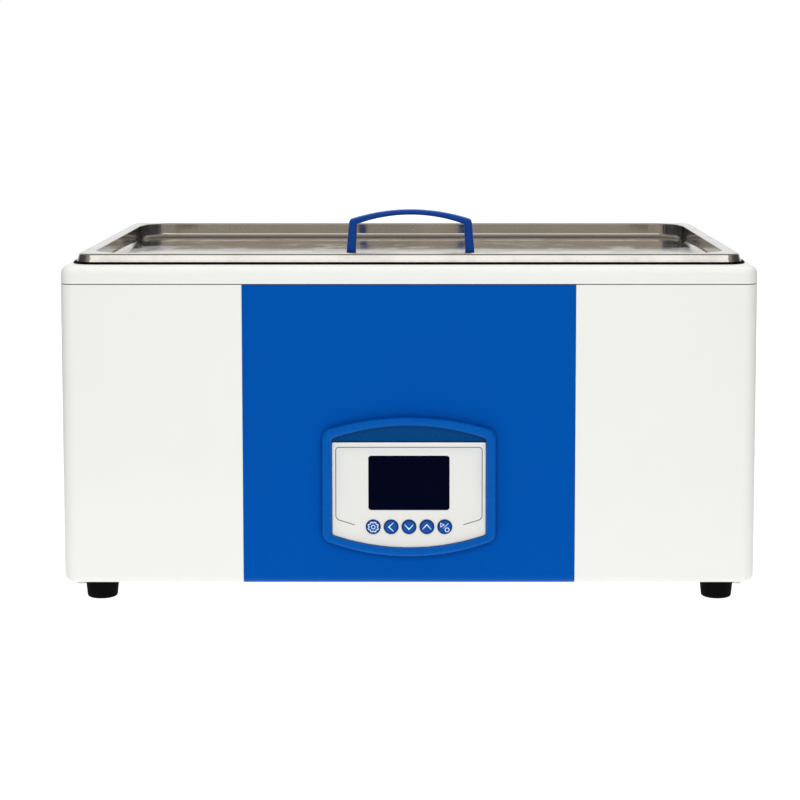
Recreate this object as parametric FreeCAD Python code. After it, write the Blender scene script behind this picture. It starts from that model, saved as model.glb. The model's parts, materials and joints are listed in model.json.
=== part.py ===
import FreeCAD, Part
import math
import os

# Bench water bath.  Millimetres, +Z up.  The front faces -Y and +X is to the right.
# The origin is on the surface that the feet stand on, midway across the whole object.

V = FreeCAD.Vector
X_AXIS = V(1, 0, 0)
Y_AXIS = V(0, 1, 0)
Z_AXIS = V(0, 0, 1)

# ---- cabinet ----
cabinet_width = 560.0
cabinet_depth = 366.0
cabinet_height = 243.4          # bottom edge up to the parting line
foot_height = 16.5              # floor to the bottom edge
corner_radius = 11.0
bottom_radius = 7.0
wall = 3.0
bottom_lip = 19.0               # inward flange that carries the base pan
parting_gap = 0.7               # shadow line between cabinet and deck
deck_height = 14.8
deck_edge_radius = 7.0
deck_plate = 3.0
tongue_depth = 5.0
tongue_thickness = 2.0
seal_inset = 0.7
fit_gap = 0.2                   # static clearance between pieces that slip together

# ---- blue front panel and controls ----
panel_width = 267.6
panel_thickness = 1.5
bezel_half_width = 70.0
bezel_rise = 23.9               # cabinet bottom up to the bezel's lowest point
bezel_height = 112.9
bezel_top_drop = 11.0           # arch rise from the shoulders to the crown
bezel_bottom_drop = 13.6
bezel_stand = 8.0               # how far the bezel stands out of the panel
bezel_floor = 2.5
bezel_round = 3.0
bezel_corner = 8.0
ring_side = 8.0
ring_top = 6.4
ring_bottom = 6.8
ring_inner_drop = 10.5
fascia_thickness = 2.0
fascia_top_gap = 13.9           # open crescent between the arch crown and the fascia
display_width = 65.0
display_height = 44.1
display_rise = 59.8             # bezel bottom up to the middle of the display
display_corner = 2.4
display_ledge = 2.6
window_thickness = 1.8
key_radius = 5.9
key_spacing = 0.9               # between the flanges of neighbouring keys
key_rise = 24.0
key_proud = 0.8
key_flange = 0.85
key_flange_thickness = 0.5
key_travel = 0.5
key_stem_radius = 2.0
running_fit = 0.08
key_names = ["key_settings", "key_left", "key_down", "key_up", "key_start_stop"]
board_stand = 4.0               # board to the inside of the front wall
board_thickness = 1.6
board_margin = 13.0
switch_height = 3.5
controls_window_height = 74.0
controls_window_rise = 52.6

# ---- lid ----
lid_margin = 10.7               # deck showing round the lid
lid_skirt = 6.4
lid_rim_width = 12.0
lid_flare = 1.85                # how much the skirt leans out on its way down
lid_recess_depth = 13.0
lid_sheet = 1.0
lid_corner = 15.0
lid_edge_round = 1.6
recess_corner = 30.0
recess_floor_round = 4.0
lid_fit = 1.2                   # recess wall to tank wall
handle_foot_span = 112.9
handle_shoulder_span = 107.9
handle_height = 37.3
handle_crown_rise = 8.8
handle_leg = 8.0
handle_leg_top = 6.6
handle_strap = 4.3
handle_depth = 13.0
handle_screw_radius = 2.0

# ---- tank and what is in it ----
tank_sheet = 1.0
tank_depth = 178.0
tank_floor_round = 10.0
gasket_thickness = 1.8
gasket_overhang = 2.5
flange_inset = 2.0
shelf_height = 36.0
shelf_sheet = 1.2
shelf_gap = 3.0
shelf_leg_inset = 14.0
shelf_hole_radius = 5.0
shelf_hole_pitch = 20.0
heater_radius = 4.0
heater_pitch = 44.0
heater_level = 18.0
heater_share = 28 / 65          # heater to heater, as a share of the tank's front to back
heater_end_gap = 60.0
gland_radius = 8.0
gland_height = 5.0
probe_radius = 2.0
probe_length = 70.0
insulation = 10.0
support_block = 30.0

# ---- rear ----
rear_margin = 36.0
rear_overlap = 9.0
rear_sheet = 1.5
rear_row_rise = 43.6            # cabinet bottom up to the row of rear fittings
drain_x = -190.0
drain_reach = 46.0
drain_pipe_radius = 8.0
drain_pipe_bore = 6.0
drain_forward = 62.0            # tank outlet to the inside of the rear wall
valve_flange = 4.0
valve_body_length = 24.0
valve_body_radius = 12.0
valve_ball_radius = 7.5
valve_bore = 2.6
valve_gap = 0.3
spigot_radius = 5.0
lever_length = 34.0
lever_width = 9.0
lever_thickness = 3.0
stem_radius = 3.0
stem_rise = 5.0
inlet_x = 190.0
inlet_flange = [50.0, 36.0, 2.5]
inlet_body = [45.0, 31.0, 26.0]
socket_size = [24.6, 16.6, 16.5]
socket_chamfer = 4.0
pin_length = 11.0
drawer_size = [24.0, 7.6, 21.0]
drawer_face = [26.0, 9.0, 1.4]
fuse_radius = 2.5
fuse_length = 18.0
switch_x = 135.0
switch_flange = [24.0, 31.0, 2.0]
switch_body = [19.4, 26.4, 20.0]
rocker_size = [15.0, 21.0, 7.0]
rocker_tilt = 9.0
rocker_pin_radius = 1.5
rocker_pin_grip = 1.2
switch_tab = [4.8, 7.0, 0.8]

# ---- feet and fasteners ----
foot_radius = 14.25
foot_tip_radius = 12.2
foot_inset = 27.6
foot_round = 2.0
screw_radius = 2.0
screw_head_radius = 3.8
screw_head_height = 2.4
base_sheet = 2.0
post_size = 10.0
post_clearance = 2.5

# ---- places worked out from the sizes ----
half_width = cabinet_width / 2
half_depth = cabinet_depth / 2
front_y = -(bezel_stand + cabinet_depth + drain_reach) / 2 + bezel_stand
back_y = front_y + cabinet_depth
mid_y = (front_y + back_y) / 2
bottom_z = foot_height
parting_z = bottom_z + cabinet_height
deck_bottom = parting_z + parting_gap
deck_top = deck_bottom + deck_height
lid_width = cabinet_width - 2 * lid_margin
lid_depth = cabinet_depth - 2 * lid_margin
gasket_top = deck_top + gasket_thickness
lid_top = gasket_top + lid_skirt
recess_floor = lid_top - lid_recess_depth
recess_width = lid_width - 2 * lid_rim_width
recess_depth_y = lid_depth - 2 * lid_rim_width
tank_width = recess_width + 2 * (lid_sheet + lid_fit)
tank_length_y = recess_depth_y + 2 * (lid_sheet + lid_fit)
heater_spread = tank_length_y * heater_share
tank_corner = recess_corner + lid_sheet + lid_fit
tank_floor = deck_top - tank_depth
tank_bottom = tank_floor - tank_sheet
inner_front = front_y + wall
bezel_bottom = bottom_z + bezel_rise
bezel_top = bezel_bottom + bezel_height
key_pitch = 2 * (key_radius + key_flange) + key_spacing
display_z = bezel_bottom + display_rise
key_z = bezel_bottom + key_rise
controls_window_z = bezel_bottom + controls_window_rise
rear_row_z = bottom_z + rear_row_rise
base_top = bottom_z + wall + base_sheet
pocket_half = bezel_half_width - ring_side
pocket_crown = bezel_top - ring_top
pocket_bottom = bezel_bottom + ring_bottom
fascia_top = pocket_crown - fascia_top_gap
pocket_floor_y = front_y - bezel_floor
fascia_y = pocket_floor_y - fascia_thickness
board_y = inner_front + board_stand
shelf_top = tank_floor + shelf_height


# ---- shared shapes ----
def slab(width, depth, radius, low, high, x=0.0, y=mid_y):
    """Upright block with rounded vertical corners."""
    block = Part.makeBox(width, depth, high - low, V(x - width / 2, y - depth / 2, low))
    if radius <= 0:
        return block
    upright = [e for e in block.Edges if e.BoundBox.ZLength > (high - low) * 0.9]
    return block.makeFillet(radius, upright)


def level_edges(shape, level):
    """Edges that lie flat at one height."""
    found = []
    for edge in shape.Edges:
        box = edge.BoundBox
        if abs(box.ZMin - level) < 1e-4 and abs(box.ZMax - level) < 1e-4:
            found.append(edge)
    return found


def box_at(centre, size):
    """Block given by its centre and its three sides."""
    low = V(centre[0] - size[0] / 2, centre[1] - size[1] / 2, centre[2] - size[2] / 2)
    return Part.makeBox(size[0], size[1], size[2], low)


def rod(start, end, radius):
    """Round bar from one point to another."""
    run = end - start
    return Part.makeCylinder(radius, run.Length, start, run)


def group(shapes):
    """Separate solids that share one node."""
    return Part.makeCompound([solid for shape in shapes for solid in shape.Solids])


def aimed(shape, place, axis):
    """Turn a shape made along +Z to point along axis, and set it at place."""
    copy = shape.copy()
    copy.Placement = FreeCAD.Placement(place, FreeCAD.Rotation(Z_AXIS, axis))
    return copy


def screw(place, axis, length, radius=screw_radius):
    """Pan-head screw with a cross recess: shank from place along axis, head behind it."""
    head_radius = radius * screw_head_radius / screw_radius
    head = Part.makeCylinder(head_radius, screw_head_height, V(0, 0, -screw_head_height))
    head = head.makeFillet(screw_head_height * 0.4, level_edges(head, -screw_head_height))
    shank = Part.makeCylinder(radius, length)
    body = head.fuse(shank)
    slot_depth = screw_head_height * 0.6
    for sides in [(head_radius, head_radius / 4), (head_radius / 4, head_radius)]:
        cut_size = (sides[0], sides[1], slot_depth)
        body = body.cut(box_at((0, 0, -screw_head_height + slot_depth / 2), cut_size))
    return aimed(body, place, axis)


def route(points, bend):
    """Wire of straight runs joined by tangent arcs of one radius."""
    edges = []
    last = points[0]
    for before, corner, after in zip(points, points[1:], points[2:]):
        into = (before - corner).normalize()
        out = (after - corner).normalize()
        half_angle = into.getAngle(out) / 2
        back = bend / math.tan(half_angle)
        start = corner + into * back
        end = corner + out * back
        toward = (into + out).normalize()
        middle = corner + toward * (bend / math.sin(half_angle) - bend)
        edges.append(Part.LineSegment(last, start).toShape())
        edges.append(Part.Arc(start, middle, end).toShape())
        last = end
    edges.append(Part.LineSegment(last, points[-1]).toShape())
    return Part.Wire(edges)


def tube_along(points, radius, bend, bore=0.0):
    """Bent round tube or lead."""
    path = route(points, bend)
    heading = points[1] - points[0]
    skin = Part.Wire([Part.makeCircle(radius, points[0], heading)])
    outside = path.makePipeShell([skin], True, False)
    if bore <= 0:
        return outside
    hole = Part.Wire([Part.makeCircle(bore, points[0], heading)])
    return outside.cut(path.makePipeShell([hole], True, False))


def cabinet_block(inset):
    """Closed outer form of the cabinet, shrunk evenly by inset."""
    low = bottom_z + inset
    radius = corner_radius - inset
    block = slab(cabinet_width - 2 * inset, cabinet_depth - 2 * inset, radius, low, parting_z)
    return block.makeFillet(bottom_radius - inset, level_edges(block, low))


def arched_block(half, top, top_drop, bottom, bottom_drop, near, far, radii):
    """Plate on the front face with a bowed top and bottom; radii are top and bottom corners."""
    shoulder = top - top_drop
    hip = bottom + bottom_drop
    corners = [V(-half, near, shoulder), V(half, near, shoulder), V(half, near, hip), V(-half, near, hip)]
    if top_drop > 0:
        upper = Part.Arc(corners[0], V(0, near, top), corners[1]).toShape()
    else:
        upper = Part.LineSegment(corners[0], corners[1]).toShape()
    right = Part.LineSegment(corners[1], corners[2]).toShape()
    lower = Part.Arc(corners[2], V(0, near, bottom), corners[3]).toShape()
    left = Part.LineSegment(corners[3], corners[0]).toShape()
    outline = Part.Wire([upper, right, lower, left])
    block = Part.Face(outline).extrude(V(0, far - near, 0))
    for level, radius in zip((shoulder, hip), radii):
        across = []
        for edge in block.Edges:
            box = edge.BoundBox
            if box.YLength > (far - near) * 0.9 and box.XLength < 1e-4 and abs(box.ZMin - level) < 1e-3:
                across.append(edge)
        block = block.makeFillet(radius, across)
    return block


# ---- cabinet pieces ----
def controls_window(near, far):
    """Hole behind the bezel that the controller reaches through."""
    width = 2 * pocket_half - 2 * board_margin
    centre = (0, (near + far) / 2, controls_window_z)
    return box_at(centre, (width, far - near, controls_window_height))


def bezel_screw_places():
    """Screw centres in the bezel floor, beside the window."""
    side = pocket_half - board_margin / 2
    rise = controls_window_height / 2 - board_margin / 2
    return [(sx * side, controls_window_z + sz * rise) for sx in (-1, 1) for sz in (-1, 1)]


def bezel_screw_holes(near, far):
    """Clearance holes for the bezel screws."""
    return [rod(V(x, near, z), V(x, far, z), screw_radius + fit_gap) for x, z in bezel_screw_places()]


def panel_band(side_gap):
    """Zone of the front that the blue panel covers."""
    width = panel_width + 2 * side_gap
    reach = bottom_lip
    return Part.makeBox(width, reach + 1, cabinet_height + 2, V(-width / 2, front_y - 1, bottom_z - 1))


def rear_zone(overlap):
    """Window in the back wall, grown by overlap for the plate that covers it."""
    width = cabinet_width - 2 * rear_margin + 2 * overlap
    height = cabinet_height - rear_margin + 2 * overlap - wall
    centre_z = bottom_z + wall + cabinet_height / 2
    return box_at((0, back_y, centre_z), (width, 2 * wall + 2, height))


def cabinet_shell():
    body = cabinet_block(0).cut(cabinet_block(wall))
    lip = slab(cabinet_width - 2 * bottom_lip, cabinet_depth - 2 * bottom_lip, corner_radius,
               bottom_z - 1, bottom_z + wall + 1)
    panel_recess = cabinet_block(0).cut(cabinet_block(panel_thickness)).common(panel_band(fit_gap))
    seat_y = back_y - rear_sheet
    ahead = Part.makeBox(cabinet_width, wall * 4, cabinet_height * 2, V(-half_width, seat_y - wall * 4, 0))
    rear_rabbet = rear_zone(rear_overlap + fit_gap).cut(ahead)
    window = controls_window(front_y - 1, inner_front + 1)
    body = body.cut([lip, panel_recess, rear_zone(0), rear_rabbet, window])
    body = body.cut(bezel_screw_holes(front_y - 1, inner_front + 1))
    body = body.cut([rod(V(x, y, bottom_z - 1), V(x, y, bottom_z + wall + 1), foot_radius + 1)
                     for x, y in foot_places()])
    body = body.cut([rod(V(x, y, bottom_z - 1), V(x, y, bottom_z + wall + 1), screw_radius + fit_gap)
                     for x, y in post_places()])
    for x, z in rear_screw_places():
        body = body.cut(rod(V(x, back_y - wall - 1, z), V(x, back_y + 1, z), screw_radius + fit_gap))
    return body


def front_panel():
    skin = cabinet_block(0).cut(cabinet_block(panel_thickness)).common(panel_band(0))
    holes = bezel_screw_holes(front_y - 1, inner_front + 1)
    return skin.cut([controls_window(front_y - 1, inner_front + 1)] + holes)


def deck_seal():
    outer = slab(cabinet_width - 2 * seal_inset, cabinet_depth - 2 * seal_inset,
                 corner_radius - seal_inset, parting_z, deck_bottom)
    inner = slab(cabinet_width - 2 * wall, cabinet_depth - 2 * wall, corner_radius - wall,
                 parting_z - 1, deck_bottom + 1)
    return outer.cut(inner)


def top_deck():
    skin = slab(cabinet_width, cabinet_depth, corner_radius, deck_bottom, deck_top)
    skin = skin.makeFillet(deck_edge_radius, level_edges(skin, deck_top))
    tongue_inset = wall + fit_gap
    tongue = slab(cabinet_width - 2 * tongue_inset, cabinet_depth - 2 * tongue_inset,
                  corner_radius - tongue_inset, deck_bottom - tongue_depth, deck_bottom + 1)
    hollow_inset = tongue_inset + tongue_thickness
    hollow = slab(cabinet_width - 2 * hollow_inset, cabinet_depth - 2 * hollow_inset,
                  corner_radius - hollow_inset, deck_bottom - tongue_depth - 1, deck_top - deck_plate)
    opening = slab(tank_width + 2 * tank_sheet + 2 * fit_gap, tank_length_y + 2 * tank_sheet + 2 * fit_gap,
                   tank_corner + tank_sheet + fit_gap, deck_bottom - 1, deck_top + 1)
    inset = flange_inset - fit_gap
    rabbet = slab(lid_width - 2 * inset, lid_depth - 2 * inset, lid_corner - inset,
                  deck_top - tank_sheet, deck_top + 1)
    return skin.fuse(tongue).cut([hollow, opening, rabbet])


def base_pan():
    inset = wall + fit_gap
    plate = slab(cabinet_width - 2 * inset, cabinet_depth - 2 * inset, corner_radius - inset,
                 bottom_z + wall, base_top)
    plate = plate.cut(cabinet_corner_clear())
    cuts = [rod(V(x, y, bottom_z), V(x, y, base_top + 1), screw_radius + fit_gap)
            for x, y in foot_places() + post_places() + board_stud_places()]
    slot_length = 60.0
    for side in (-1, 1):
        for row in range(6):
            y = mid_y + (row - 2.5) * 12.0
            cuts.append(box_at((side * 90.0, y, base_top), (slot_length, 4.0, 4 * base_sheet)))
    return plate.cut(cuts)


def cabinet_corner_clear():
    """Space outside the rounded bottom edge of the cabinet's inner face."""
    inner = cabinet_block(wall + fit_gap)
    zone = slab(cabinet_width, cabinet_depth, 0, bottom_z, base_top)
    return zone.cut(inner)


def rear_screw_places():
    """Screws along the edges of the rear panel."""
    zone = rear_zone(rear_overlap / 2).BoundBox
    columns = [zone.XMin, 0.0, zone.XMax]
    return [(x, z) for x in columns for z in (zone.ZMin, zone.ZMax)]


def rear_panel():
    zone = rear_zone(rear_overlap).BoundBox
    plate = Part.makeBox(zone.XLength, rear_sheet, zone.ZLength, V(zone.XMin, back_y - rear_sheet, zone.ZMin))
    cuts = [rod(V(x, back_y - wall, z), V(x, back_y + 1, z), screw_radius + fit_gap)
            for x, z in rear_screw_places()]
    cuts.append(rod(V(drain_x, back_y - wall, rear_row_z), V(drain_x, back_y + 1, rear_row_z),
                    drain_pipe_radius + fit_gap))
    for x, size in ((inlet_x, inlet_body), (switch_x, switch_body)):
        centre = (x, back_y, rear_row_z)
        cuts.append(box_at(centre, (size[0] + 2 * fit_gap, 4 * wall, size[1] + 2 * fit_gap)))
    for side in (-1, 1):
        for row in range(7):
            z = rear_row_z + 90.0 + row * 9.0
            slot = box_at((side * 120.0, back_y, z), (90.0, 4 * wall, 3.0))
            cuts.append(slot)
    return plate.cut(cuts)


def post_places():
    """Corner posts between the base pan and the deck."""
    inset = wall + tongue_thickness + fit_gap + post_clearance + post_size / 2
    return [(sx * (half_width - inset), mid_y + sy * (half_depth - inset))
            for sx in (-1, 1) for sy in (-1, 1)]


def corner_posts():
    posts = []
    for x, y in post_places():
        post = slab(post_size, post_size, 1.5, base_top, deck_top - deck_plate, x, y)
        posts.append(post.cut(rod(V(x, y, base_top - 1), V(x, y, base_top + 12), screw_radius + 0.02)))
    return group(posts)


def case_screws():
    """Screws up into the corner posts and screws round the rear panel."""
    base = [screw(V(x, y, bottom_z), Z_AXIS, wall + base_sheet + 9) for x, y in post_places()]
    rear = [screw(V(x, back_y, z), V(0, -1, 0), wall + 3) for x, z in rear_screw_places()]
    return group(base + rear)


# ---- feet ----
def foot_places():
    """Foot centres, front left first."""
    return [(sx * (half_width - foot_inset), mid_y + sy * (half_depth - foot_inset))
            for sy in (-1, 1) for sx in (-1, 1)]


def foot(x, y):
    """Tapered rubber foot, hollowed underneath for its screw head."""
    top = bottom_z + wall
    body = Part.makeCone(foot_tip_radius, foot_radius, top, V(x, y, 0))
    body = body.makeFillet(foot_round, level_edges(body, 0.0))
    pocket = Part.makeCylinder(screw_head_radius + 1.2, top - 6, V(x, y, -0.5))
    hole = Part.makeCylinder(screw_radius + fit_gap, top + 1, V(x, y, 0))
    return body.cut([pocket, hole])


def feet():
    return group([foot(x, y) for x, y in foot_places()])


def foot_screws():
    seat = bottom_z + wall - 6.5
    return group([screw(V(x, y, seat), Z_AXIS, base_top + 6 - seat) for x, y in foot_places()])


def foot_nuts():
    """Hexagon nuts on the foot screws, inside the base."""
    nuts = []
    for x, y in foot_places():
        corners = [V(x + 4 * math.cos(a * math.pi / 3), y + 4 * math.sin(a * math.pi / 3), base_top)
                   for a in range(7)]
        nut = Part.Face(Part.makePolygon(corners)).extrude(V(0, 0, 3.2))
        nuts.append(nut.cut(rod(V(x, y, base_top - 1), V(x, y, base_top + 5), screw_radius + 0.02)))
    return group(nuts)


# ---- control group ----
def fascia_outline_bottom():
    """Drop of the fascia's lower corners above its lowest point."""
    return ring_inner_drop


def control_bezel():
    outer = arched_block(bezel_half_width, bezel_top, bezel_top_drop, bezel_bottom, bezel_bottom_drop,
                         front_y - bezel_stand, front_y, (bezel_corner, bezel_corner))
    pocket = arched_block(pocket_half, pocket_crown, ring_inner_drop, pocket_bottom, fascia_outline_bottom(),
                          front_y - bezel_stand - 1, pocket_floor_y, (3.0, 2.0))
    body = outer.cut(pocket)
    rim = []
    for edge in body.Edges:
        if edge.BoundBox.YMax < front_y - bezel_stand + 1e-4:
            rim.append(edge)
    body = body.makeFillet(bezel_round, rim)
    ledge = 2 * display_ledge
    module_hole = box_at((0, front_y, display_z),
                         (display_width - ledge, 4 * bezel_floor, display_height - ledge))
    stems = [rod(V(x, front_y - bezel_stand, key_z), V(x, front_y + 1, key_z), key_stem_radius + running_fit)
             for x in key_centres()]
    return body.cut([module_hole] + stems + bezel_screw_holes(pocket_floor_y + 0.6, front_y + 1))


def bezel_screws():
    depth = wall + bezel_floor - 1.0
    return group([screw(V(x, inner_front, z), V(0, -1, 0), depth) for x, z in bezel_screw_places()])


def key_centres():
    middle = (len(key_names) - 1) / 2
    return [(i - middle) * key_pitch for i in range(len(key_names))]


def control_fascia():
    plate = arched_block(pocket_half - fit_gap, fascia_top, 0.0, pocket_bottom + fit_gap,
                         fascia_outline_bottom(), fascia_y, pocket_floor_y, (0.8, 2.0))
    face = [e for e in plate.Edges if e.BoundBox.YMax < fascia_y + 1e-4]
    plate = plate.makeChamfer(0.3, face)
    cuts = [slab_on_front(display_width + 2 * fit_gap, display_height + 2 * fit_gap, display_corner,
                          display_z, fascia_y - 1, pocket_floor_y + 1)]
    for x in key_centres():
        cuts.append(rod(V(x, fascia_y - 1, key_z), V(x, front_y, key_z), key_radius + fit_gap))
        seat = pocket_floor_y - key_flange_thickness - key_travel
        cuts.append(rod(V(x, seat, key_z), V(x, front_y, key_z), key_radius + key_flange + fit_gap))
    return plate.cut(cuts)


def slab_on_front(width, height, radius, centre_z, near, far):
    """Plate with rounded corners that stands upright, facing the front."""
    plate = Part.makeBox(width, far - near, height, V(-width / 2, near, centre_z - height / 2))
    across = [e for e in plate.Edges if e.BoundBox.YLength > (far - near) * 0.9]
    return plate.makeFillet(radius, across)


def display_window():
    pane = slab_on_front(display_width, display_height, display_corner, display_z,
                         pocket_floor_y - window_thickness, pocket_floor_y)
    face = [e for e in pane.Edges if e.BoundBox.YMax < pocket_floor_y - window_thickness + 1e-4]
    return pane.makeChamfer(0.2, face)


def display_module():
    inset = 2 * display_ledge + 2 * fit_gap
    depth = board_y - pocket_floor_y
    centre = (0, pocket_floor_y + depth / 2, display_z)
    return box_at(centre, (display_width - inset, depth, display_height - inset))


def key(x):
    """Round key: cap, hidden retaining flange and stem to its switch."""
    cap_front = fascia_y - key_proud
    flange_front = pocket_floor_y - key_flange_thickness - key_travel
    flange_back = pocket_floor_y - key_travel
    stem_end = board_y - switch_height - key_travel
    cap = Part.makeCylinder(key_radius, flange_front - cap_front, V(x, cap_front, key_z), Y_AXIS)
    rim = [e for e in cap.Edges if e.BoundBox.YMax < cap_front + 1e-4]
    cap = cap.makeFillet(0.5, rim)
    flange = rod(V(x, flange_front, key_z), V(x, flange_back, key_z), key_radius + key_flange)
    stem = rod(V(x, flange_front, key_z), V(x, stem_end, key_z), key_stem_radius)
    return cap.fuse([flange, stem]).removeSplitter()


def key_switches():
    """One push switch behind each key, soldered to the board."""
    switches = []
    for x in key_centres():
        switches.append(box_at((x, board_y - switch_height / 2, key_z), (6.0, switch_height, 6.0)))
    return group(switches)


def board_size():
    width = 2 * pocket_half - 2 * board_margin
    return width + board_margin, controls_window_height + board_margin


def stud_places():
    width, height = board_size()
    inset = board_margin / 4
    return [(sx * (width / 2 - inset), controls_window_z + sz * (height / 2 - inset))
            for sx in (-1, 1) for sz in (-1, 1)]


def control_board():
    width, height = board_size()
    centre = (0, board_y + board_thickness / 2, controls_window_z)
    return box_at(centre, (width, board_thickness, height))


def board_studs():
    return group([rod(V(x, inner_front, z), V(x, board_y, z), 2.5) for x, z in stud_places()])


# ---- lid ----
def flared(inset, low, high):
    """Leaning block that narrows upward, for the outside and inside of the lid's skirt."""
    rings = []
    for level in (low, high):
        lean = lid_flare * (level - gasket_top) / lid_skirt
        shrink = 2 * (inset + lean)
        block = slab(lid_width - shrink, lid_depth - shrink, lid_corner - inset - lean, level, level + 1)
        floor = min(block.Faces, key=lambda face: face.BoundBox.ZMax)
        rings.append(floor.OuterWire)
    return Part.makeLoft(rings, True, True)


def lid_pan():
    skirt = flared(0.0, gasket_top, lid_top)
    skirt = skirt.makeFillet(lid_edge_round, level_edges(skirt, lid_top))
    under = flared(lid_sheet, gasket_top, lid_top - lid_sheet)
    cup = slab(recess_width + 2 * lid_sheet, recess_depth_y + 2 * lid_sheet, recess_corner + lid_sheet,
               recess_floor - lid_sheet, lid_top - lid_sheet / 2)
    cup = cup.makeFillet(recess_floor_round + lid_sheet, level_edges(cup, recess_floor - lid_sheet))
    hollow = slab(recess_width, recess_depth_y, recess_corner, recess_floor, lid_top + 1)
    hollow = hollow.makeFillet(recess_floor_round, level_edges(hollow, recess_floor))
    pan = skirt.cut(under).fuse(cup).cut(hollow)
    lip = [e for e in level_edges(pan, lid_top) if abs(e.BoundBox.Center.x) < lid_width]
    inner = [e for e in lip if within_recess(e)]
    pan = pan.makeFillet(lid_sheet * 0.9, inner)
    holes = [rod(V(x, mid_y, recess_floor - 3), V(x, mid_y, recess_floor + 3), handle_screw_radius + fit_gap)
             for x in handle_feet()]
    return pan.cut(holes)


def within_recess(edge):
    """True for the edges round the mouth of the recess."""
    box = edge.BoundBox
    reach_x = recess_width / 2 + 0.01
    reach_y = recess_depth_y / 2 + 0.01
    inside_x = max(abs(box.XMin), abs(box.XMax)) <= reach_x
    return inside_x and max(abs(box.YMin - mid_y), abs(box.YMax - mid_y)) <= reach_y


def handle_feet():
    centre = (handle_foot_span - handle_leg) / 2
    return [-centre, centre]


def lid_handle():
    """Bridge handle: two leaning legs and a shallow arch."""
    near = mid_y - handle_depth / 2
    foot_half = handle_foot_span / 2
    shoulder_half = handle_shoulder_span / 2
    crown = recess_floor + handle_height
    shoulder = crown - handle_crown_rise
    inner_shoulder = shoulder_half - handle_leg_top
    inner_z = shoulder - handle_strap * 0.9
    right_leg = [V(shoulder_half, near, shoulder), V(foot_half, near, recess_floor),
                 V(foot_half - handle_leg, near, recess_floor), V(inner_shoulder, near, inner_z)]
    left_leg = [V(-point.x, point.y, point.z) for point in reversed(right_leg)]
    outer_arch = Part.Arc(left_leg[-1], V(0, near, crown), right_leg[0])
    inner_arch = Part.Arc(right_leg[-1], V(0, near, crown - handle_strap), left_leg[0])
    right = Part.makePolygon(right_leg)
    left = Part.makePolygon(left_leg)
    edges = [outer_arch.toShape()] + right.Edges + [inner_arch.toShape()] + left.Edges
    bar = Part.Face(Part.Wire(edges)).extrude(V(0, handle_depth, 0))
    corners = [e for e in bar.Edges if e.BoundBox.YLength > handle_depth * 0.9
               and e.BoundBox.ZMin > recess_floor + 1 and e.BoundBox.ZMax > shoulder - 0.1]
    bar = bar.makeFillet(3.0, corners)
    rims = [e for e in bar.Edges if e.BoundBox.YLength < 1e-4 and e.BoundBox.ZMax > recess_floor + 0.1]
    bar = bar.makeFillet(1.2, rims)
    holes = [rod(V(x, mid_y, recess_floor - 1), V(x, mid_y, recess_floor + 12), handle_screw_radius + 0.02)
             for x in handle_feet()]
    return bar.cut(holes)


def handle_screws():
    seat = recess_floor - lid_sheet
    length = lid_sheet + 9
    return group([screw(V(x, mid_y, seat), Z_AXIS, length, handle_screw_radius) for x in handle_feet()])


# ---- tank group ----
def tank():
    outer = slab(tank_width + 2 * tank_sheet, tank_length_y + 2 * tank_sheet, tank_corner + tank_sheet,
                 tank_bottom, deck_top)
    outer = outer.makeFillet(tank_floor_round + tank_sheet, level_edges(outer, tank_bottom))
    flange = slab(lid_width - 2 * flange_inset, lid_depth - 2 * flange_inset, lid_corner - flange_inset,
                  deck_top - tank_sheet, deck_top)
    inner = slab(tank_width, tank_length_y, tank_corner, tank_floor, deck_top + 1)
    inner = inner.makeFillet(tank_floor_round, level_edges(inner, tank_floor))
    body = outer.fuse(flange).cut(inner)
    left = -tank_width / 2 - tank_sheet - 1
    cuts = [rod(V(left, y, z), V(left + 2 * tank_sheet + 2, y, z), radius + fit_gap)
            for y, z, radius in wall_ports()]
    cuts.append(rod(drain_outlet(tank_bottom - 1), drain_outlet(tank_floor + 1), drain_pipe_radius + fit_gap))
    return body.cut(cuts)


def wall_ports():
    """Heater and probe holes in the left wall: y, z and thread radius."""
    level = tank_floor + heater_level
    ports = [(y + side * heater_pitch / 2, level, heater_radius + 2)
             for y in heater_lines() for side in (-1, 1)]
    ports.append((mid_y, level, probe_radius + 2))
    return ports


def heater_lines():
    return [mid_y - heater_spread / 2, mid_y + heater_spread / 2]


def heater(y):
    """Hairpin heating element with its terminals outside the tank wall."""
    level = tank_floor + heater_level
    start = -tank_width / 2 - tank_sheet - gland_height - 4
    end = tank_width / 2 - heater_end_gap
    half = heater_pitch / 2
    points = [V(start, y - half, level), V(end, y - half, level), V(end, y + half, level),
              V(start, y + half, level)]
    return tube_along(points, heater_radius, half - 0.01)


def gland_set():
    """Nut and washer pairs that clamp each port to the left wall."""
    pieces = []
    outside = -tank_width / 2 - tank_sheet
    for y, z, radius in wall_ports():
        hole = rod(V(outside - 30, y, z), V(outside + 30, y, z), radius - 2 + running_fit)
        outer = rod(V(outside, y, z), V(outside - gland_height, y, z), gland_radius)
        neck = rod(V(outside, y, z), V(outside + tank_sheet, y, z), radius)
        collar = rod(V(outside + tank_sheet, y, z), V(outside + tank_sheet + 4, y, z), gland_radius)
        pieces.append(outer.fuse([neck, collar]).removeSplitter().cut(hole))
    return group(pieces)


def temperature_probe():
    level = tank_floor + heater_level
    start = -tank_width / 2 - tank_sheet - gland_height - 4
    return rod(V(start, mid_y, level), V(start + probe_length, mid_y, level), probe_radius)


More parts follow.
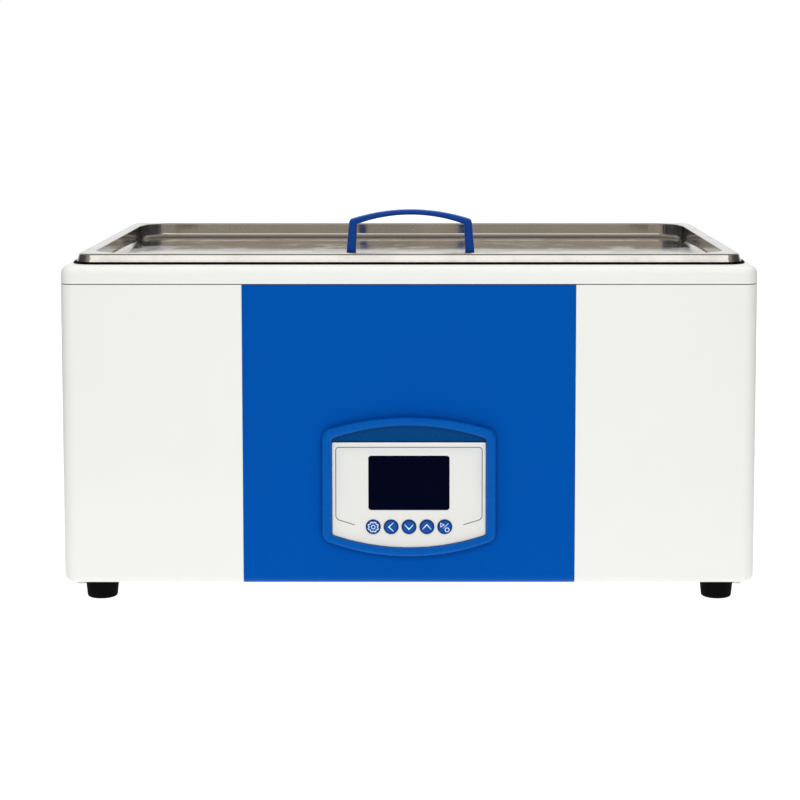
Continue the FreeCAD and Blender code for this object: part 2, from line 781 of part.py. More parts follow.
def shelf():
    """Perforated false floor on two long folded legs."""
    width = tank_width - 2 * shelf_gap
    depth = tank_length_y - 2 * shelf_gap
    plate = slab(width, depth, tank_corner - shelf_gap, shelf_top - shelf_sheet, shelf_top)
    legs = []
    leg_length = width - 2 * tank_corner
    for side in (-1, 1):
        y = mid_y + side * (tank_length_y / 2 - shelf_leg_inset)
        centre = (0, y, (tank_floor + shelf_top - shelf_sheet) / 2)
        legs.append(box_at(centre, (leg_length, shelf_sheet, shelf_height - shelf_sheet)))
    columns = int((width - 40) / shelf_hole_pitch / 2)
    rows = int((depth - 60) / shelf_hole_pitch / 2)
    holes = []
    for i in range(-columns, columns + 1):
        for j in range(-rows, rows + 1):
            place = V(i * shelf_hole_pitch, mid_y + j * shelf_hole_pitch, shelf_top - shelf_sheet - 1)
            holes.append(Part.makeCylinder(shelf_hole_radius, shelf_sheet + 2, place))
    return plate.cut(holes).fuse(legs)


def tank_gasket():
    grow = 2 * gasket_overhang
    outer = slab(lid_width + grow, lid_depth + grow, lid_corner + gasket_overhang, deck_top, gasket_top)
    outer = outer.makeChamfer(0.5, level_edges(outer, gasket_top))
    inner = slab(tank_width + 2 * fit_gap, tank_length_y + 2 * fit_gap, tank_corner + fit_gap,
                 deck_top - 1, gasket_top + 1)
    return outer.cut(inner)


def insulation_pads():
    """Four wall pads between the tank and the cabinet; the front one clears the controller."""
    low = tank_bottom + tank_floor_round + tank_sheet
    high = deck_bottom - tongue_depth - 2
    side_x = tank_width / 2 + tank_sheet + insulation / 2
    side_y = tank_length_y / 2 + tank_sheet + insulation / 2
    span_x = tank_width - 2 * tank_corner
    span_y = tank_length_y - 2 * tank_corner
    pads = []
    for side in (-1, 1):
        pads.append(box_at((0, mid_y + side * side_y, (low + high) / 2), (span_x, insulation, high - low)))
        pads.append(box_at((side * side_x, mid_y, (low + high) / 2), (insulation, span_y, high - low)))
    width, height = board_size()
    notch = box_at((0, front_y, controls_window_z), (width + 12, 60.0, height + 12))
    ports = [rod(V(-half_width, y, z), V(-tank_width / 2, y, z), gland_radius + 2)
             for y, z, r in wall_ports()]
    return group([pad.cut([notch] + ports) for pad in pads])


def support_places():
    return [(sx * tank_width / 4, mid_y + sy * tank_length_y / 4) for sx in (-1, 1) for sy in (-1, 1)]


def insulation_base():
    top = tank_bottom
    width = tank_width - 2 * tank_corner
    depth = tank_length_y - 2 * tank_corner
    sheet = slab(width, depth, 0, top - insulation, top)
    cuts = [slab(support_block + 2, support_block + 2, 0, top - insulation - 1, top + 1, x, y)
            for x, y in support_places()]
    cuts.append(rod(drain_outlet(top + 1), drain_outlet(top - insulation - 1), drain_pipe_radius + 9))
    cuts.append(rod(V(0, mid_y, top + 1), V(0, mid_y, top - insulation - 1), 10.0))
    return sheet.cut(cuts)


def tank_supports():
    return group([slab(support_block, support_block, 2.0, base_top, tank_bottom, x, y)
                  for x, y in support_places()])


def limit_thermostat():
    """Snap-disc cut-out held against the underside of the tank."""
    cap = rod(V(0, mid_y, tank_bottom), V(0, mid_y, tank_bottom - 5), 8.0)
    stem = rod(V(0, mid_y, tank_bottom - 5), V(0, mid_y, tank_bottom - 13), 6.5)
    tabs = [box_at((side * 4.0, mid_y, tank_bottom - 17), (0.8, 6.0, 8.0)) for side in (-1, 1)]
    return cap.fuse([stem] + tabs)


# ---- drain ----
def drain_outlet(z):
    return V(drain_x, back_y - wall - drain_forward, z)


def drain_boss():
    """Flanged outlet in the tank floor with its threaded tail."""
    disc = rod(drain_outlet(tank_floor), drain_outlet(tank_floor + 2), drain_pipe_radius + 6)
    tail = rod(drain_outlet(tank_floor), drain_outlet(tank_bottom - 12), drain_pipe_radius)
    bore = rod(drain_outlet(tank_floor + 3), drain_outlet(tank_bottom - 13), drain_pipe_bore)
    return disc.fuse(tail).cut(bore)


def drain_nut():
    body = rod(drain_outlet(tank_bottom), drain_outlet(tank_bottom - 6), drain_pipe_radius + 5)
    bore = rod(drain_outlet(tank_bottom + 1), drain_outlet(tank_bottom - 7), drain_pipe_radius + 0.02)
    return body.cut(bore)


def drain_pipe():
    """Elbow from the outlet to the valve, through the rear panel."""
    start = drain_outlet(tank_bottom - 12)
    corner = V(drain_x, start.y, rear_row_z)
    end = V(drain_x, back_y, rear_row_z)
    return tube_along([start, corner, end], drain_pipe_radius, 18.0, drain_pipe_bore)


def valve_centre():
    return V(drain_x, back_y + valve_flange + valve_body_length / 2, rear_row_z)


def drain_valve_body():
    axis_point = V(drain_x, back_y, rear_row_z)
    flange_end = axis_point + Y_AXIS * valve_flange
    body_end = flange_end + Y_AXIS * valve_body_length
    tip = axis_point + Y_AXIS * drain_reach
    centre = valve_centre()
    flange = rod(axis_point, flange_end, valve_body_radius + 4)
    body = rod(flange_end, body_end, valve_body_radius)
    spigot = rod(body_end, tip, spigot_radius)
    boss_top = centre + Z_AXIS * (valve_body_radius + stem_rise)
    boss = rod(centre, boss_top, stem_radius + 2.5)
    solid = flange.fuse([body, spigot, boss]).removeSplitter()
    cavity = Part.makeSphere(valve_ball_radius + valve_gap, centre)
    bore = rod(axis_point - Y_AXIS, tip + Y_AXIS, valve_bore)
    stem = rod(centre, boss_top + Z_AXIS, stem_radius + running_fit)
    return solid.cut([cavity, bore, stem])


def drain_ball():
    """Ball with a cross bore, shut across the flow, with its stem."""
    centre = valve_centre()
    ball = Part.makeSphere(valve_ball_radius, centre)
    top = centre + Z_AXIS * (valve_body_radius + stem_rise + lever_thickness + 1)
    stem = rod(centre, top, stem_radius)
    bore = rod(centre - X_AXIS * 20, centre + X_AXIS * 20, valve_bore)
    return ball.fuse(stem).cut(bore)


def drain_lever():
    centre = valve_centre()
    low = centre.z + valve_body_radius + stem_rise + valve_gap
    grip_round = lever_width / 2
    bar = Part.makeBox(lever_length + grip_round, lever_width, lever_thickness,
                       V(centre.x - grip_round, centre.y - lever_width / 2, low))
    upright = [e for e in bar.Edges if e.BoundBox.ZLength > lever_thickness * 0.9]
    bar = bar.makeFillet(grip_round - 0.2, upright)
    hole = Part.makeCylinder(stem_radius + 0.02, lever_thickness * 4, V(centre.x, centre.y, low - 2))
    return bar.cut(hole)


# ---- mains side ----
def inlet_socket(depth):
    """Hollow of the inlet, with its two upper corners cut off."""
    width, height = socket_size[0], socket_size[1]
    near = back_y + inlet_flange[2] + 1
    centre_z = socket_z()
    low = V(inlet_x - width / 2, near - depth - 1, centre_z - height / 2)
    block = Part.makeBox(width, depth + 1, height, low)
    upper = [e for e in block.Edges if e.BoundBox.YLength > depth * 0.9 and e.BoundBox.ZMin > centre_z]
    return block.makeChamfer(socket_chamfer, upper)


def socket_z():
    return rear_row_z - (drawer_size[1] + 1.5) / 2


def drawer_z():
    return rear_row_z + (socket_size[1] + 1.5) / 2


def inlet_housing():
    flange = box_at((inlet_x, back_y + inlet_flange[2] / 2, rear_row_z),
                    (inlet_flange[0], inlet_flange[2], inlet_flange[1]))
    edges = [e for e in flange.Edges if e.BoundBox.YLength > inlet_flange[2] * 0.9]
    flange = flange.makeFillet(4.0, edges)
    body = box_at((inlet_x, back_y - inlet_body[2] / 2, rear_row_z),
                  (inlet_body[0], inlet_body[2], inlet_body[1]))
    solid = flange.fuse(body)
    drawer_depth = drawer_size[2] + 1
    face_y = back_y + inlet_flange[2]
    drawer_hole = box_at((inlet_x, face_y - drawer_depth / 2 + 1, drawer_z()),
                         (drawer_size[0] + 2 * fit_gap, drawer_depth + 2, drawer_size[1] + 2 * fit_gap))
    pins = [grow_box(pin, fit_gap / 2) for pin in pin_boxes()]
    return solid.cut([inlet_socket(socket_size[2]), drawer_hole] + pins)


def pin_boxes():
    """Centre and size of each blade: earth below, the other two beside it."""
    floor_y = back_y + inlet_flange[2] - socket_size[2]
    length = pin_length + 18
    boxes = []
    for dx, dz in ((-7.0, -1.5), (7.0, -1.5), (0.0, 2.5)):
        centre = (inlet_x + dx, floor_y + pin_length - length / 2, socket_z() + dz)
        boxes.append((centre, (2.0, length, 4.0)))
    return boxes


def grow_box(pin, gap):
    centre, size = pin
    return box_at(centre, (size[0] + 2 * gap, size[1] + 2 * gap, size[2] + 2 * gap))


def inlet_pins():
    return group([box_at(centre, size) for centre, size in pin_boxes()])


def fuse_drawer():
    face_y = back_y + inlet_flange[2]
    block = box_at((inlet_x, face_y - drawer_size[2] / 2, drawer_z()),
                   (drawer_size[0], drawer_size[2], drawer_size[1]))
    face = box_at((inlet_x, face_y + drawer_face[2] / 2, drawer_z()),
                  (drawer_face[0], drawer_face[2], drawer_face[1]))
    tray = box_at((inlet_x, face_y - drawer_size[2] / 2, drawer_z() + drawer_size[1] / 2),
                  (2 * fuse_radius + 1, fuse_length + 1, drawer_size[1] * 1.6))
    return block.fuse(face).cut(tray)


def fuse():
    start = back_y + inlet_flange[2] - drawer_size[2] / 2 - fuse_length / 2
    level = drawer_z() - drawer_size[1] * 0.3 + fuse_radius + 0.02
    return rod(V(inlet_x, start, level), V(inlet_x, start + fuse_length, level), fuse_radius)


def switch_housing():
    flange = box_at((switch_x, back_y + switch_flange[2] / 2, rear_row_z),
                    (switch_flange[0], switch_flange[2], switch_flange[1]))
    body = box_at((switch_x, back_y - switch_body[2] / 2, rear_row_z),
                  (switch_body[0], switch_body[2], switch_body[1]))
    well_size = (rocker_size[0] + 1, 2 * rocker_size[2] + 6, rocker_size[1] + 1.6)
    well = box_at((switch_x, back_y, rear_row_z), well_size)
    pivot = rocker_pivot()
    reach = X_AXIS * (rocker_size[0] / 2 + rocker_pin_grip + fit_gap)
    bearing = rod(pivot - reach, pivot + reach, rocker_pin_radius + running_fit)
    tabs = [box_at(centre, switch_tab) for centre in switch_tab_centres()]
    return flange.fuse([body] + tabs).cut([well, bearing])


def switch_tab_centres():
    """Two terminals behind the switch, one over the other."""
    y = back_y - switch_body[2] - switch_tab[1] / 2
    return [(switch_x, y, rear_row_z + side * 6.0) for side in (-1, 1)]


def rocker_pivot():
    return V(switch_x, back_y - 1.0, rear_row_z)


def power_rocker():
    """Rocker with two faces; it rests tipped to its off side."""
    pivot = rocker_pivot()
    half = rocker_size[1] / 2
    bulge = rocker_size[2] / 2
    near = -bulge
    profile = [V(0, near, -half), V(0, bulge + 1.2, -half), V(0, bulge - 0.4, 0), V(0, bulge + 1.2, half),
               V(0, near, half), V(0, near, -half)]
    block = Part.Face(Part.makePolygon(profile)).extrude(V(rocker_size[0], 0, 0))
    block.translate(V(-rocker_size[0] / 2, 0, 0))
    block.rotate(V(0, 0, 0), X_AXIS, -rocker_tilt)
    block.translate(pivot)
    reach = X_AXIS * (rocker_size[0] / 2 + rocker_pin_grip)
    return block.fuse(rod(pivot - reach, pivot + reach, rocker_pin_radius))


# ---- electronics under the tank ----
board_width = 96.0
board_depth = 64.0
board_x = 60.0
board_y_offset = 96.0
stud_height = 6.0
board_stud_inset = 6.0
terminal_pitch = 9.0
terminal_row = 14.0
terminal_width = 11.0
terminal_height = 14.0
terminal_entry = 4.0
lead_radius = 1.5
lead_bend = 4.0
lead_pitch = 5.0
sensor_lane = 24.0
ribbon = [12.0, 1.0]


def power_board_centre():
    return board_x, mid_y + board_y_offset


def board_stud_places():
    x, y = power_board_centre()
    return [(x + sx * (board_width / 2 - board_stud_inset), y + sy * (board_depth / 2 - board_stud_inset))
            for sx in (-1, 1) for sy in (-1, 1)]


def power_board():
    x, y = power_board_centre()
    low = base_top + stud_height
    plate = slab(board_width, board_depth, 2.0, low, low + board_thickness, x, y)
    holes = [rod(V(px, py, low - 1), V(px, py, low + 4), screw_radius + fit_gap)
             for px, py in board_stud_places()]
    return plate.cut(holes)


def power_studs():
    studs = []
    for x, y in board_stud_places():
        stud = rod(V(x, y, base_top), V(x, y, base_top + stud_height), 3.5)
        bore = rod(V(x, y, base_top - 1), V(x, y, base_top + stud_height + 1), screw_radius + 0.02)
        studs.append(stud.cut(bore))
    return group(studs)


def power_board_screws():
    top = base_top + stud_height + board_thickness
    return group([screw(V(x, y, top), V(0, 0, -1), stud_height) for x, y in board_stud_places()])


def board_top_z():
    return base_top + stud_height + board_thickness


def power_relay():
    x, y = power_board_centre()
    top = board_top_z()
    return slab(28.0, 20.0, 1.0, top, top + 20.0, x - 20.0, y - 8.0)


def heat_sink():
    """Finned block that cools the heater switch."""
    x, y = power_board_centre()
    top = board_top_z()
    sink = slab(30.0, 24.0, 0, top, top + 4.0, x + 22.0, y - 8.0)
    fins = [box_at((x + 22.0 + (i - 3) * 4.5, y - 8.0, top + 12.0), (1.5, 24.0, 17.0)) for i in range(7)]
    return sink.fuse(fins)


def terminal_places():
    """Wire entries in the top of the terminal block: heaters first, then the two mains leads."""
    x, y = power_board_centre()
    return [(x + (i - 2.5) * terminal_pitch, y + terminal_row) for i in range(6)]


def terminal_block():
    x, y = power_board_centre()
    top = board_top_z()
    high = top + terminal_height
    block = slab(6 * terminal_pitch + 3, terminal_width, 0, top, high, x, y + terminal_row)
    holes = [rod(V(px, py, high - terminal_entry), V(px, py, high + 1), lead_radius + 0.3)
             for px, py in terminal_places()]
    return block.cut(holes)


# ---- wiring inside ----
def lane_levels():
    """Height of each heater lead; the outer two pass under the inner two."""
    low = board_top_z() + terminal_height + lead_pitch * 2
    return [low + lead_pitch * step for step in (0, 2, 3, 1)]


def terminal_drop():
    return board_top_z() + terminal_height - terminal_entry


def heater_leads():
    """A lead from each heater terminal, down the left side and across to the terminal block."""
    leads = []
    start_x = -tank_width / 2 - tank_sheet - gland_height - 4
    side_x = start_x - lead_bend - 0.2
    lanes = [mid_y + offset * lead_pitch for offset in (-2.4, -1.2, 1.2, 2.4)]
    for port, lane, level, place in zip(wall_ports(), lanes, lane_levels(), terminal_places()):
        y, z = port[0], port[1]
        points = [V(start_x, y, z), V(side_x, y, z), V(side_x, y, level), V(side_x, lane, level),
                  V(place[0], lane, level), V(place[0], place[1], level),
                  V(place[0], place[1], terminal_drop())]
        leads.append(tube_along(points, lead_radius, lead_bend))
    return group(leads)


def sensor_lead():
    """Thin lead from the probe to the back of the control board."""
    start_x = -tank_width / 2 - tank_sheet - gland_height - 4
    side_x = start_x - lead_bend - 0.2
    z = tank_floor + heater_level
    level = lane_levels()[0] - lead_pitch * 1.6
    board_back = board_y + board_thickness
    points = [V(start_x, mid_y, z), V(side_x, mid_y, z), V(side_x, mid_y, level),
              V(-sensor_lane, mid_y, level), V(-sensor_lane, board_back, level)]
    return tube_along(points, lead_radius * 0.7, lead_bend)


def ribbon_cable():
    """Flat cable from the control board to the power board."""
    board_back = board_y + board_thickness
    level = lane_levels()[0] - lead_pitch * 1.4
    x, y = power_board_centre()
    fall = y - board_depth / 2 + board_stud_inset
    low = board_top_z()
    outline = [V(0, board_back, level), V(0, fall, level), V(0, fall, low), V(0, fall - ribbon[1], low),
               V(0, fall - ribbon[1], level - ribbon[1]), V(0, board_back, level - ribbon[1]),
               V(0, board_back, level)]
    strip = Part.Face(Part.makePolygon(outline)).extrude(V(ribbon[0], 0, 0))
    strip.translate(V(sensor_lane, 0, 0))
    return strip


def mains_leads():
    """Live and neutral from the inlet to the switch, and on from the switch to the terminal block."""
    leads = []
    tab_y = back_y - switch_body[2] - switch_tab[1]
    for pin, tab, place in zip(pin_boxes(), switch_tab_centres(), terminal_places()[4:]):
        centre, size = pin
        pin_end = centre[1] - size[1] / 2
        tab_z = tab[2]
        back_run = pin_end - lead_bend * (1.2 if tab_z < rear_row_z else 2.4)
        near_tab = tab[0] + switch_tab[0] / 4
        over = tab_z + lead_bend * 2.1
        leads.append([V(centre[0], pin_end, centre[2]), V(centre[0], back_run, centre[2]),
                      V(centre[0], back_run, over), V(near_tab, back_run, over),
                      V(near_tab, back_run, tab_z), V(near_tab, tab_y, tab_z)])
        far_tab = tab[0] - switch_tab[0] / 2 + 0.2
        leads.append([V(far_tab - lead_radius, tab_y, tab_z), V(far_tab - lead_radius, place[1], tab_z),
                      V(place[0], place[1], tab_z), V(place[0], place[1], terminal_drop())])
    return group([tube_along(points, lead_radius, lead_bend) for points in leads])


nodes = {
    "cabinet_shell": cabinet_shell,
    "front_panel": front_panel,
    "deck_seal": deck_seal,
    "top_deck": top_deck,
    "base_pan": base_pan,
    "rear_panel": rear_panel,
    "corner_posts": corner_posts,
    "case_screws": case_screws,
    "feet": feet,
    "foot_screws": foot_screws,
    "foot_nuts": foot_nuts,
    "control_bezel": control_bezel,
    "bezel_screws": bezel_screws,
    "control_fascia": control_fascia,
    "display_window": display_window,
    "display_module": display_module,
    "control_board": control_board,
    "board_studs": board_studs,
    "key_switches": key_switches,
    "lid_pan": lid_pan,
    "lid_handle": lid_handle,
    "handle_screws": handle_screws,
    "tank": tank,
    "tank_gasket": tank_gasket,
    "port_glands": gland_set,
    "temperature_probe": temperature_probe,
    "tank_shelf": shelf,
    "insulation_pads": insulation_pads,
    "insulation_base": insulation_base,
    "tank_supports": tank_supports,
    "limit_thermostat": limit_thermostat,
    "drain_boss": drain_boss,
    "drain_nut": drain_nut,
    "drain_pipe": drain_pipe,
    "drain_valve_body": drain_valve_body,
    "drain_ball": drain_ball,
    "drain_lever": drain_lever,
    "inlet_housing": inlet_housing,
    "inlet_pins": inlet_pins,
    "fuse_drawer": fuse_drawer,
    "fuse": fuse,
    "switch_housing": switch_housing,
    "power_rocker": power_rocker,
    "power_board": power_board,
    "power_studs": power_studs,
    "power_board_screws": power_board_screws,
    "power_relay": power_relay,
    "heat_sink": heat_sink,
    "terminal_block": terminal_block,
    "heater_leads": heater_leads,
    "sensor_lead": sensor_lead,
    "ribbon_cable": ribbon_cable,
    "mains_leads": mains_leads,
}


def save(name, shape):
    """Write one node as a STEP file and report its solids."""
    shape.exportStep(os.path.join("parts", name + ".step"))
    print(f"{name:20s} solids {len(shape.Solids)} valid {shape.isValid()} volume {shape.Volume:.0f}")


def build():
    os.makedirs("parts", exist_ok=True)
    for name, make in nodes.items():
        save(name, make())
    for name, x in zip(key_names, key_centres()):
        save(name, key(x))
    for name, y in zip(("heater_front", "heater_rear"), heater_lines()):
        save(name, heater(y))


build()
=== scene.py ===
# %% [markdown]
# # A bench water bath
#
# The steel, plastic and rubber parts of this water bath come in as a fixed frame of named
# nodes, already at their real size and place.  This notebook gives them their finishes, adds
# the small printed details that a mechanical model leaves out, and sets a plain studio round
# them.  Everything is in metres: +X is to the right, the controls face -Y and +Z is up from
# the bench.

# %% Load the frame
import json
import math

import bmesh
import bpy
from mathutils import Matrix, Vector


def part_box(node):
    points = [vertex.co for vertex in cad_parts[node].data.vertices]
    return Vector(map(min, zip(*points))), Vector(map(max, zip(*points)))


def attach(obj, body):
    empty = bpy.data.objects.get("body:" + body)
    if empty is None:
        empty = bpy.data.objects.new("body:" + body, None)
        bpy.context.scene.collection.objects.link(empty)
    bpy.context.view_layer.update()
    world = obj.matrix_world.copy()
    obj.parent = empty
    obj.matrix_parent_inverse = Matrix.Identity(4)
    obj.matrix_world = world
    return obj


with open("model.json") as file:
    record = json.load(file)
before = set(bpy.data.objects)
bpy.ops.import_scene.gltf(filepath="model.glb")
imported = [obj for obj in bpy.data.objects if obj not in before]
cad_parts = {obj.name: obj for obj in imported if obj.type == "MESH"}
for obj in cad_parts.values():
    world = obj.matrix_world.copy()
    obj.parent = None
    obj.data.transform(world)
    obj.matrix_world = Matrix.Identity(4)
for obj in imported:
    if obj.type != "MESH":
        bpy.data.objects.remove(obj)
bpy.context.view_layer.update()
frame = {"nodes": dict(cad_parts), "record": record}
nodes = frame["nodes"]

# %% [markdown]
# ## Small helpers
#
# An operator works on whatever is selected, and loading the frame leaves all of its nodes
# selected.  So each new piece starts by clearing the selection.  A finished piece gets its
# place baked into its mesh, which keeps patterns that read Object coordinates where they are.

# %% Helpers for new pieces
MM = 0.001


def clear_selection():
    """Leave nothing selected and no object in edit mode."""
    if bpy.context.object and bpy.context.object.mode != "OBJECT":
        bpy.ops.object.mode_set(mode="OBJECT")
    bpy.ops.object.select_all(action="DESELECT")


def pick(piece):
    """Make one object the selected and active one."""
    clear_selection()
    piece.select_set(True)
    bpy.context.view_layer.objects.active = piece


def seat(piece):
    """Bake the object's place into its mesh and leave the object at the origin."""
    pick(piece)
    bpy.ops.object.transform_apply(location=True, rotation=True, scale=True)
    return piece


def paint(piece, material):
    """Give the whole piece one material."""
    piece.data.materials.clear()
    piece.data.materials.append(material)


def size_of(piece):
    """Sides of the piece's own mesh, in millimetres, for the printed notes."""
    return [round(side / MM, 2) for side in piece.dimensions]


cabinet_low, cabinet_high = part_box("cabinet_shell")
print("cabinet, mm:", [round(side / MM, 1) for side in cabinet_high - cabinet_low])

# %% [markdown]
# ## Helpers for shaders
#
# Every shader here is built from the same few nodes: a sum, a ramp between two values and a
# mix of two colours.  A value can be a plain number or the output of another node.

# %% Helpers for shader nodes
def wire(tree, value, socket):
    """Link a socket, or set a plain value."""
    if isinstance(value, bpy.types.NodeSocket):
        tree.links.new(value, socket)
    else:
        socket.default_value = value


def maths(tree, operation, first, second=0.0):
    """One Math node."""
    node = tree.nodes.new("ShaderNodeMath")
    node.operation = operation
    wire(tree, first, node.inputs[0])
    wire(tree, second, node.inputs[1])
    return node.outputs[0]


def ramp(tree, value, low, high, to_low=0.0, to_high=1.0, kind="SMOOTHSTEP"):
    """Goes from to_low at low to to_high at high and stays there, smoothly or in a line."""
    node = tree.nodes.new("ShaderNodeMapRange")
    node.interpolation_type = kind
    wire(tree, value, node.inputs["Value"])
    wire(tree, low, node.inputs["From Min"])
    wire(tree, high, node.inputs["From Max"])
    wire(tree, to_low, node.inputs["To Min"])
    wire(tree, to_high, node.inputs["To Max"])
    return node.outputs["Result"]


def between(tree, factor, first, second):
    """Colour that goes from first to second with factor."""
    mix = tree.nodes.new("ShaderNodeMix")
    mix.data_type = "RGBA"
    wire(tree, factor, mix.inputs["Factor"])
    for colour, socket in ((first, mix.inputs[6]), (second, mix.inputs[7])):
        wire(tree, (*colour, 1) if isinstance(colour, tuple) else colour, socket)
    return mix.outputs[2]


def object_place(tree):
    """Object coordinates, in metres."""
    return tree.nodes.new("ShaderNodeTexCoord").outputs["Object"]


def split_axes(tree, place):
    """The X, Y and Z of a place or a direction."""
    node = tree.nodes.new("ShaderNodeSeparateXYZ")
    wire(tree, place, node.inputs[0])
    return node.outputs


def new_finish(name, roughness=0.5, metallic=0.0, **constants):
    """Material whose Principled shader has these constant values."""
    material = bpy.data.materials.new(name)
    material.use_nodes = True
    shader = material.node_tree.nodes["Principled BSDF"]
    shader.inputs["Roughness"].default_value = roughness
    shader.inputs["Metallic"].default_value = metallic
    for label, value in constants.items():
        shader.inputs[label.replace("_", " ")].default_value = value
    return material, material.node_tree, shader.inputs


# %% [markdown]
# ## Camera
#
# The bath is seen squarely from the front, a little above its rim, from about 1.7 m away
# with a portrait lens.  A level camera would need a large lens shift to bring the whole
# cabinet into the frame.  Here the camera tilts down instead, and only a small shift is left,
# so that the upright edges stay almost parallel and other views stay centred too.

# %% Camera
CAMERA_AHEAD = 1.6616          # in front of the cabinet
CAMERA_HEIGHT = 0.4330
CAMERA_SIDE = 0.0139
CAMERA_TILT = math.radians(5.156)
LENS = 94.03                   # on a sensor 36 wide
LENS_SHIFT = (-0.0328, -0.18)

camera_data = bpy.data.cameras.new("front_camera")
camera_data.lens = LENS
camera_data.sensor_width = 36.0
camera_data.shift_x, camera_data.shift_y = LENS_SHIFT
camera_data.clip_end = 50.0
camera = bpy.data.objects.new("front_camera", camera_data)
bpy.context.scene.collection.objects.link(camera)
stand = Matrix.Translation((CAMERA_SIDE, cabinet_low.y - CAMERA_AHEAD, CAMERA_HEIGHT))
camera.matrix_world = stand @ Matrix.Rotation(math.pi / 2 - CAMERA_TILT, 4, "X")
bpy.context.scene.camera = camera
print("camera at", [round(c, 3) for c in camera.location])

# %% [markdown]
# ## Studio floor
#
# A product shot on white stands on a light table: a pale translucent sheet that is lit from
# below as well, so shadows stay faint and the sheet runs into the white behind it without a
# horizon.  The glow is weakest round the feet, where it lets a soft shadow through.  Out to
# the sides it is masked off for everything but the lens, as black card would do it, which
# lets the cabinet's upright edges turn grey.  The floor is staging, not part of the object.

# %% Floor
FLOOR_SIZE = 12.0

clear_selection()
bpy.ops.mesh.primitive_plane_add(size=FLOOR_SIZE, location=(0, 0, 0))
floor = bpy.context.object
floor.name = "studio_floor"
seat(floor)
print("floor", FLOOR_SIZE, "m")

# %% Glow of the floor
GLOW_STRENGTH = 1.2
SHADOW_REACH = (0.3, 0.9)      # from the middle, where the shadow is fullest and where it ends
SHADOW_GLOW = 0.95             # share of glow where the shadow is fullest
MASK_REACH = (0.45, 0.95)      # to either side, where the black card begins and is complete
MASKED_GLOW = 0.25

floor_paper, tree, sockets = new_finish("floor_paper", 0.9, Specular_IOR_Level=0.1,
                                        Base_Color=(0.85, 0.85, 0.85, 1))
from_middle = tree.nodes.new("ShaderNodeVectorMath")
from_middle.operation = "LENGTH"
wire(tree, object_place(tree), from_middle.inputs[0])
share = ramp(tree, from_middle.outputs["Value"], *SHADOW_REACH, SHADOW_GLOW, kind="LINEAR")
aside = maths(tree, "ABSOLUTE", split_axes(tree, object_place(tree))["X"])
open_glow = ramp(tree, aside, *MASK_REACH, 1.0, MASKED_GLOW, kind="LINEAR")
seen = tree.nodes.new("ShaderNodeLightPath").outputs["Is Camera Ray"]
glow = tree.nodes.new("ShaderNodeEmission")
brightness = maths(tree, "MULTIPLY", maths(tree, "MAXIMUM", open_glow, seen), GLOW_STRENGTH)
wire(tree, brightness, glow.inputs["Strength"])
sheet = tree.nodes.new("ShaderNodeMixShader")
wire(tree, share, sheet.inputs[0])
wire(tree, tree.nodes["Principled BSDF"].outputs[0], sheet.inputs[1])
wire(tree, glow.outputs[0], sheet.inputs[2])
wire(tree, sheet.outputs[0], tree.nodes["Material Output"].inputs["Surface"])
paint(floor, floor_paper)

# %% [markdown]
# ## Studio light
#
# Large soft boxes light the bath: a wide strip in front, above the camera, for the face, one
# overhead, which lifts every edge that turns upwards, and a fill from behind.  The lid is
# mirror polished, so what it shows is the room.  The surroundings are therefore pale behind
# the bath, a dim warm brown in front of it and above, and nearly black to the sides, which is
# what gives polished steel and rounded edges their depth.  The three boxes are kept out of
# reflections, and a dimmer card near the front strip takes its place there: it makes the
# bright band along the lid's skirt.  The white seen behind the bath is set apart from the
# light that falls on it.

# %% Lights
FLASH_WHITE = (0.97, 0.985, 1.0)


def soft_light(name, place, aim, size, power, mirrored=True):
    """Rectangular area light at place, facing aim, mirrored in polished things or not."""
    light = bpy.data.lights.new(name, "AREA")
    light.shape = "RECTANGLE"
    light.size = size[0]
    light.size_y = size[1]
    light.energy = power
    light.color = FLASH_WHITE
    lamp = bpy.data.objects.new(name, light)
    bpy.context.scene.collection.objects.link(lamp)
    lamp.location = place
    lamp.rotation_euler = (Vector(aim) - Vector(place)).to_track_quat("-Z", "Y").to_euler()
    lamp.visible_glossy = mirrored
    return lamp


soft_light("top_box", (0.0, -0.3, 2.2), (0, 0, 0.1), (2.4, 1.6), 26, mirrored=False)
soft_light("front_strip", (0.0, -2.6, 1.75), (0, 0, 0.2), (2.2, 0.9), 23, mirrored=False)
soft_light("front_card", (0.0, -2.5, 1.7), (0, 0, 0.2), (3.4, 0.8), 10)
soft_light("back_fill", (0.0, 2.4, 1.6), (0, 0, 0.15), (2.2, 1.2), 14, mirrored=False)

# %% Surroundings
ROOM_BACK = (0.90, 0.91, 0.91)
ROOM_FRONT = (0.46, 0.40, 0.33)
ROOM_CEILING = (0.34, 0.31, 0.28)
ROOM_SIDE = (0.08, 0.08, 0.08)
TO_BACK = (-0.35, 0.35)        # where one part of the room turns into the next, along Y
TO_SIDE = (0.6, 0.9)           # either way along X
TO_CEILING = (0.25, 0.75)      # along Z

world = bpy.data.worlds.new("studio")
world.use_nodes = True
sky = world.node_tree
towards = split_axes(sky, sky.nodes.new("ShaderNodeTexCoord").outputs["Generated"])
room = between(sky, ramp(sky, towards["Y"], *TO_BACK), ROOM_FRONT, ROOM_BACK)
for way in (1, -1):
    to_side = ramp(sky, towards["X"], way * TO_SIDE[0], way * TO_SIDE[1])
    room = between(sky, to_side, room, ROOM_SIDE)
room = between(sky, ramp(sky, towards["Z"], *TO_CEILING), room, ROOM_CEILING)
room_light = sky.nodes["Background"]
wire(sky, room, room_light.inputs["Color"])
room_light.inputs["Strength"].default_value = 1.0
seen_white = sky.nodes.new("ShaderNodeBackground")
seen_white.inputs["Color"].default_value = (1, 1, 1, 1)
seen = sky.nodes.new("ShaderNodeMixShader")
wire(sky, sky.nodes.new("ShaderNodeLightPath").outputs["Is Camera Ray"], seen.inputs[0])
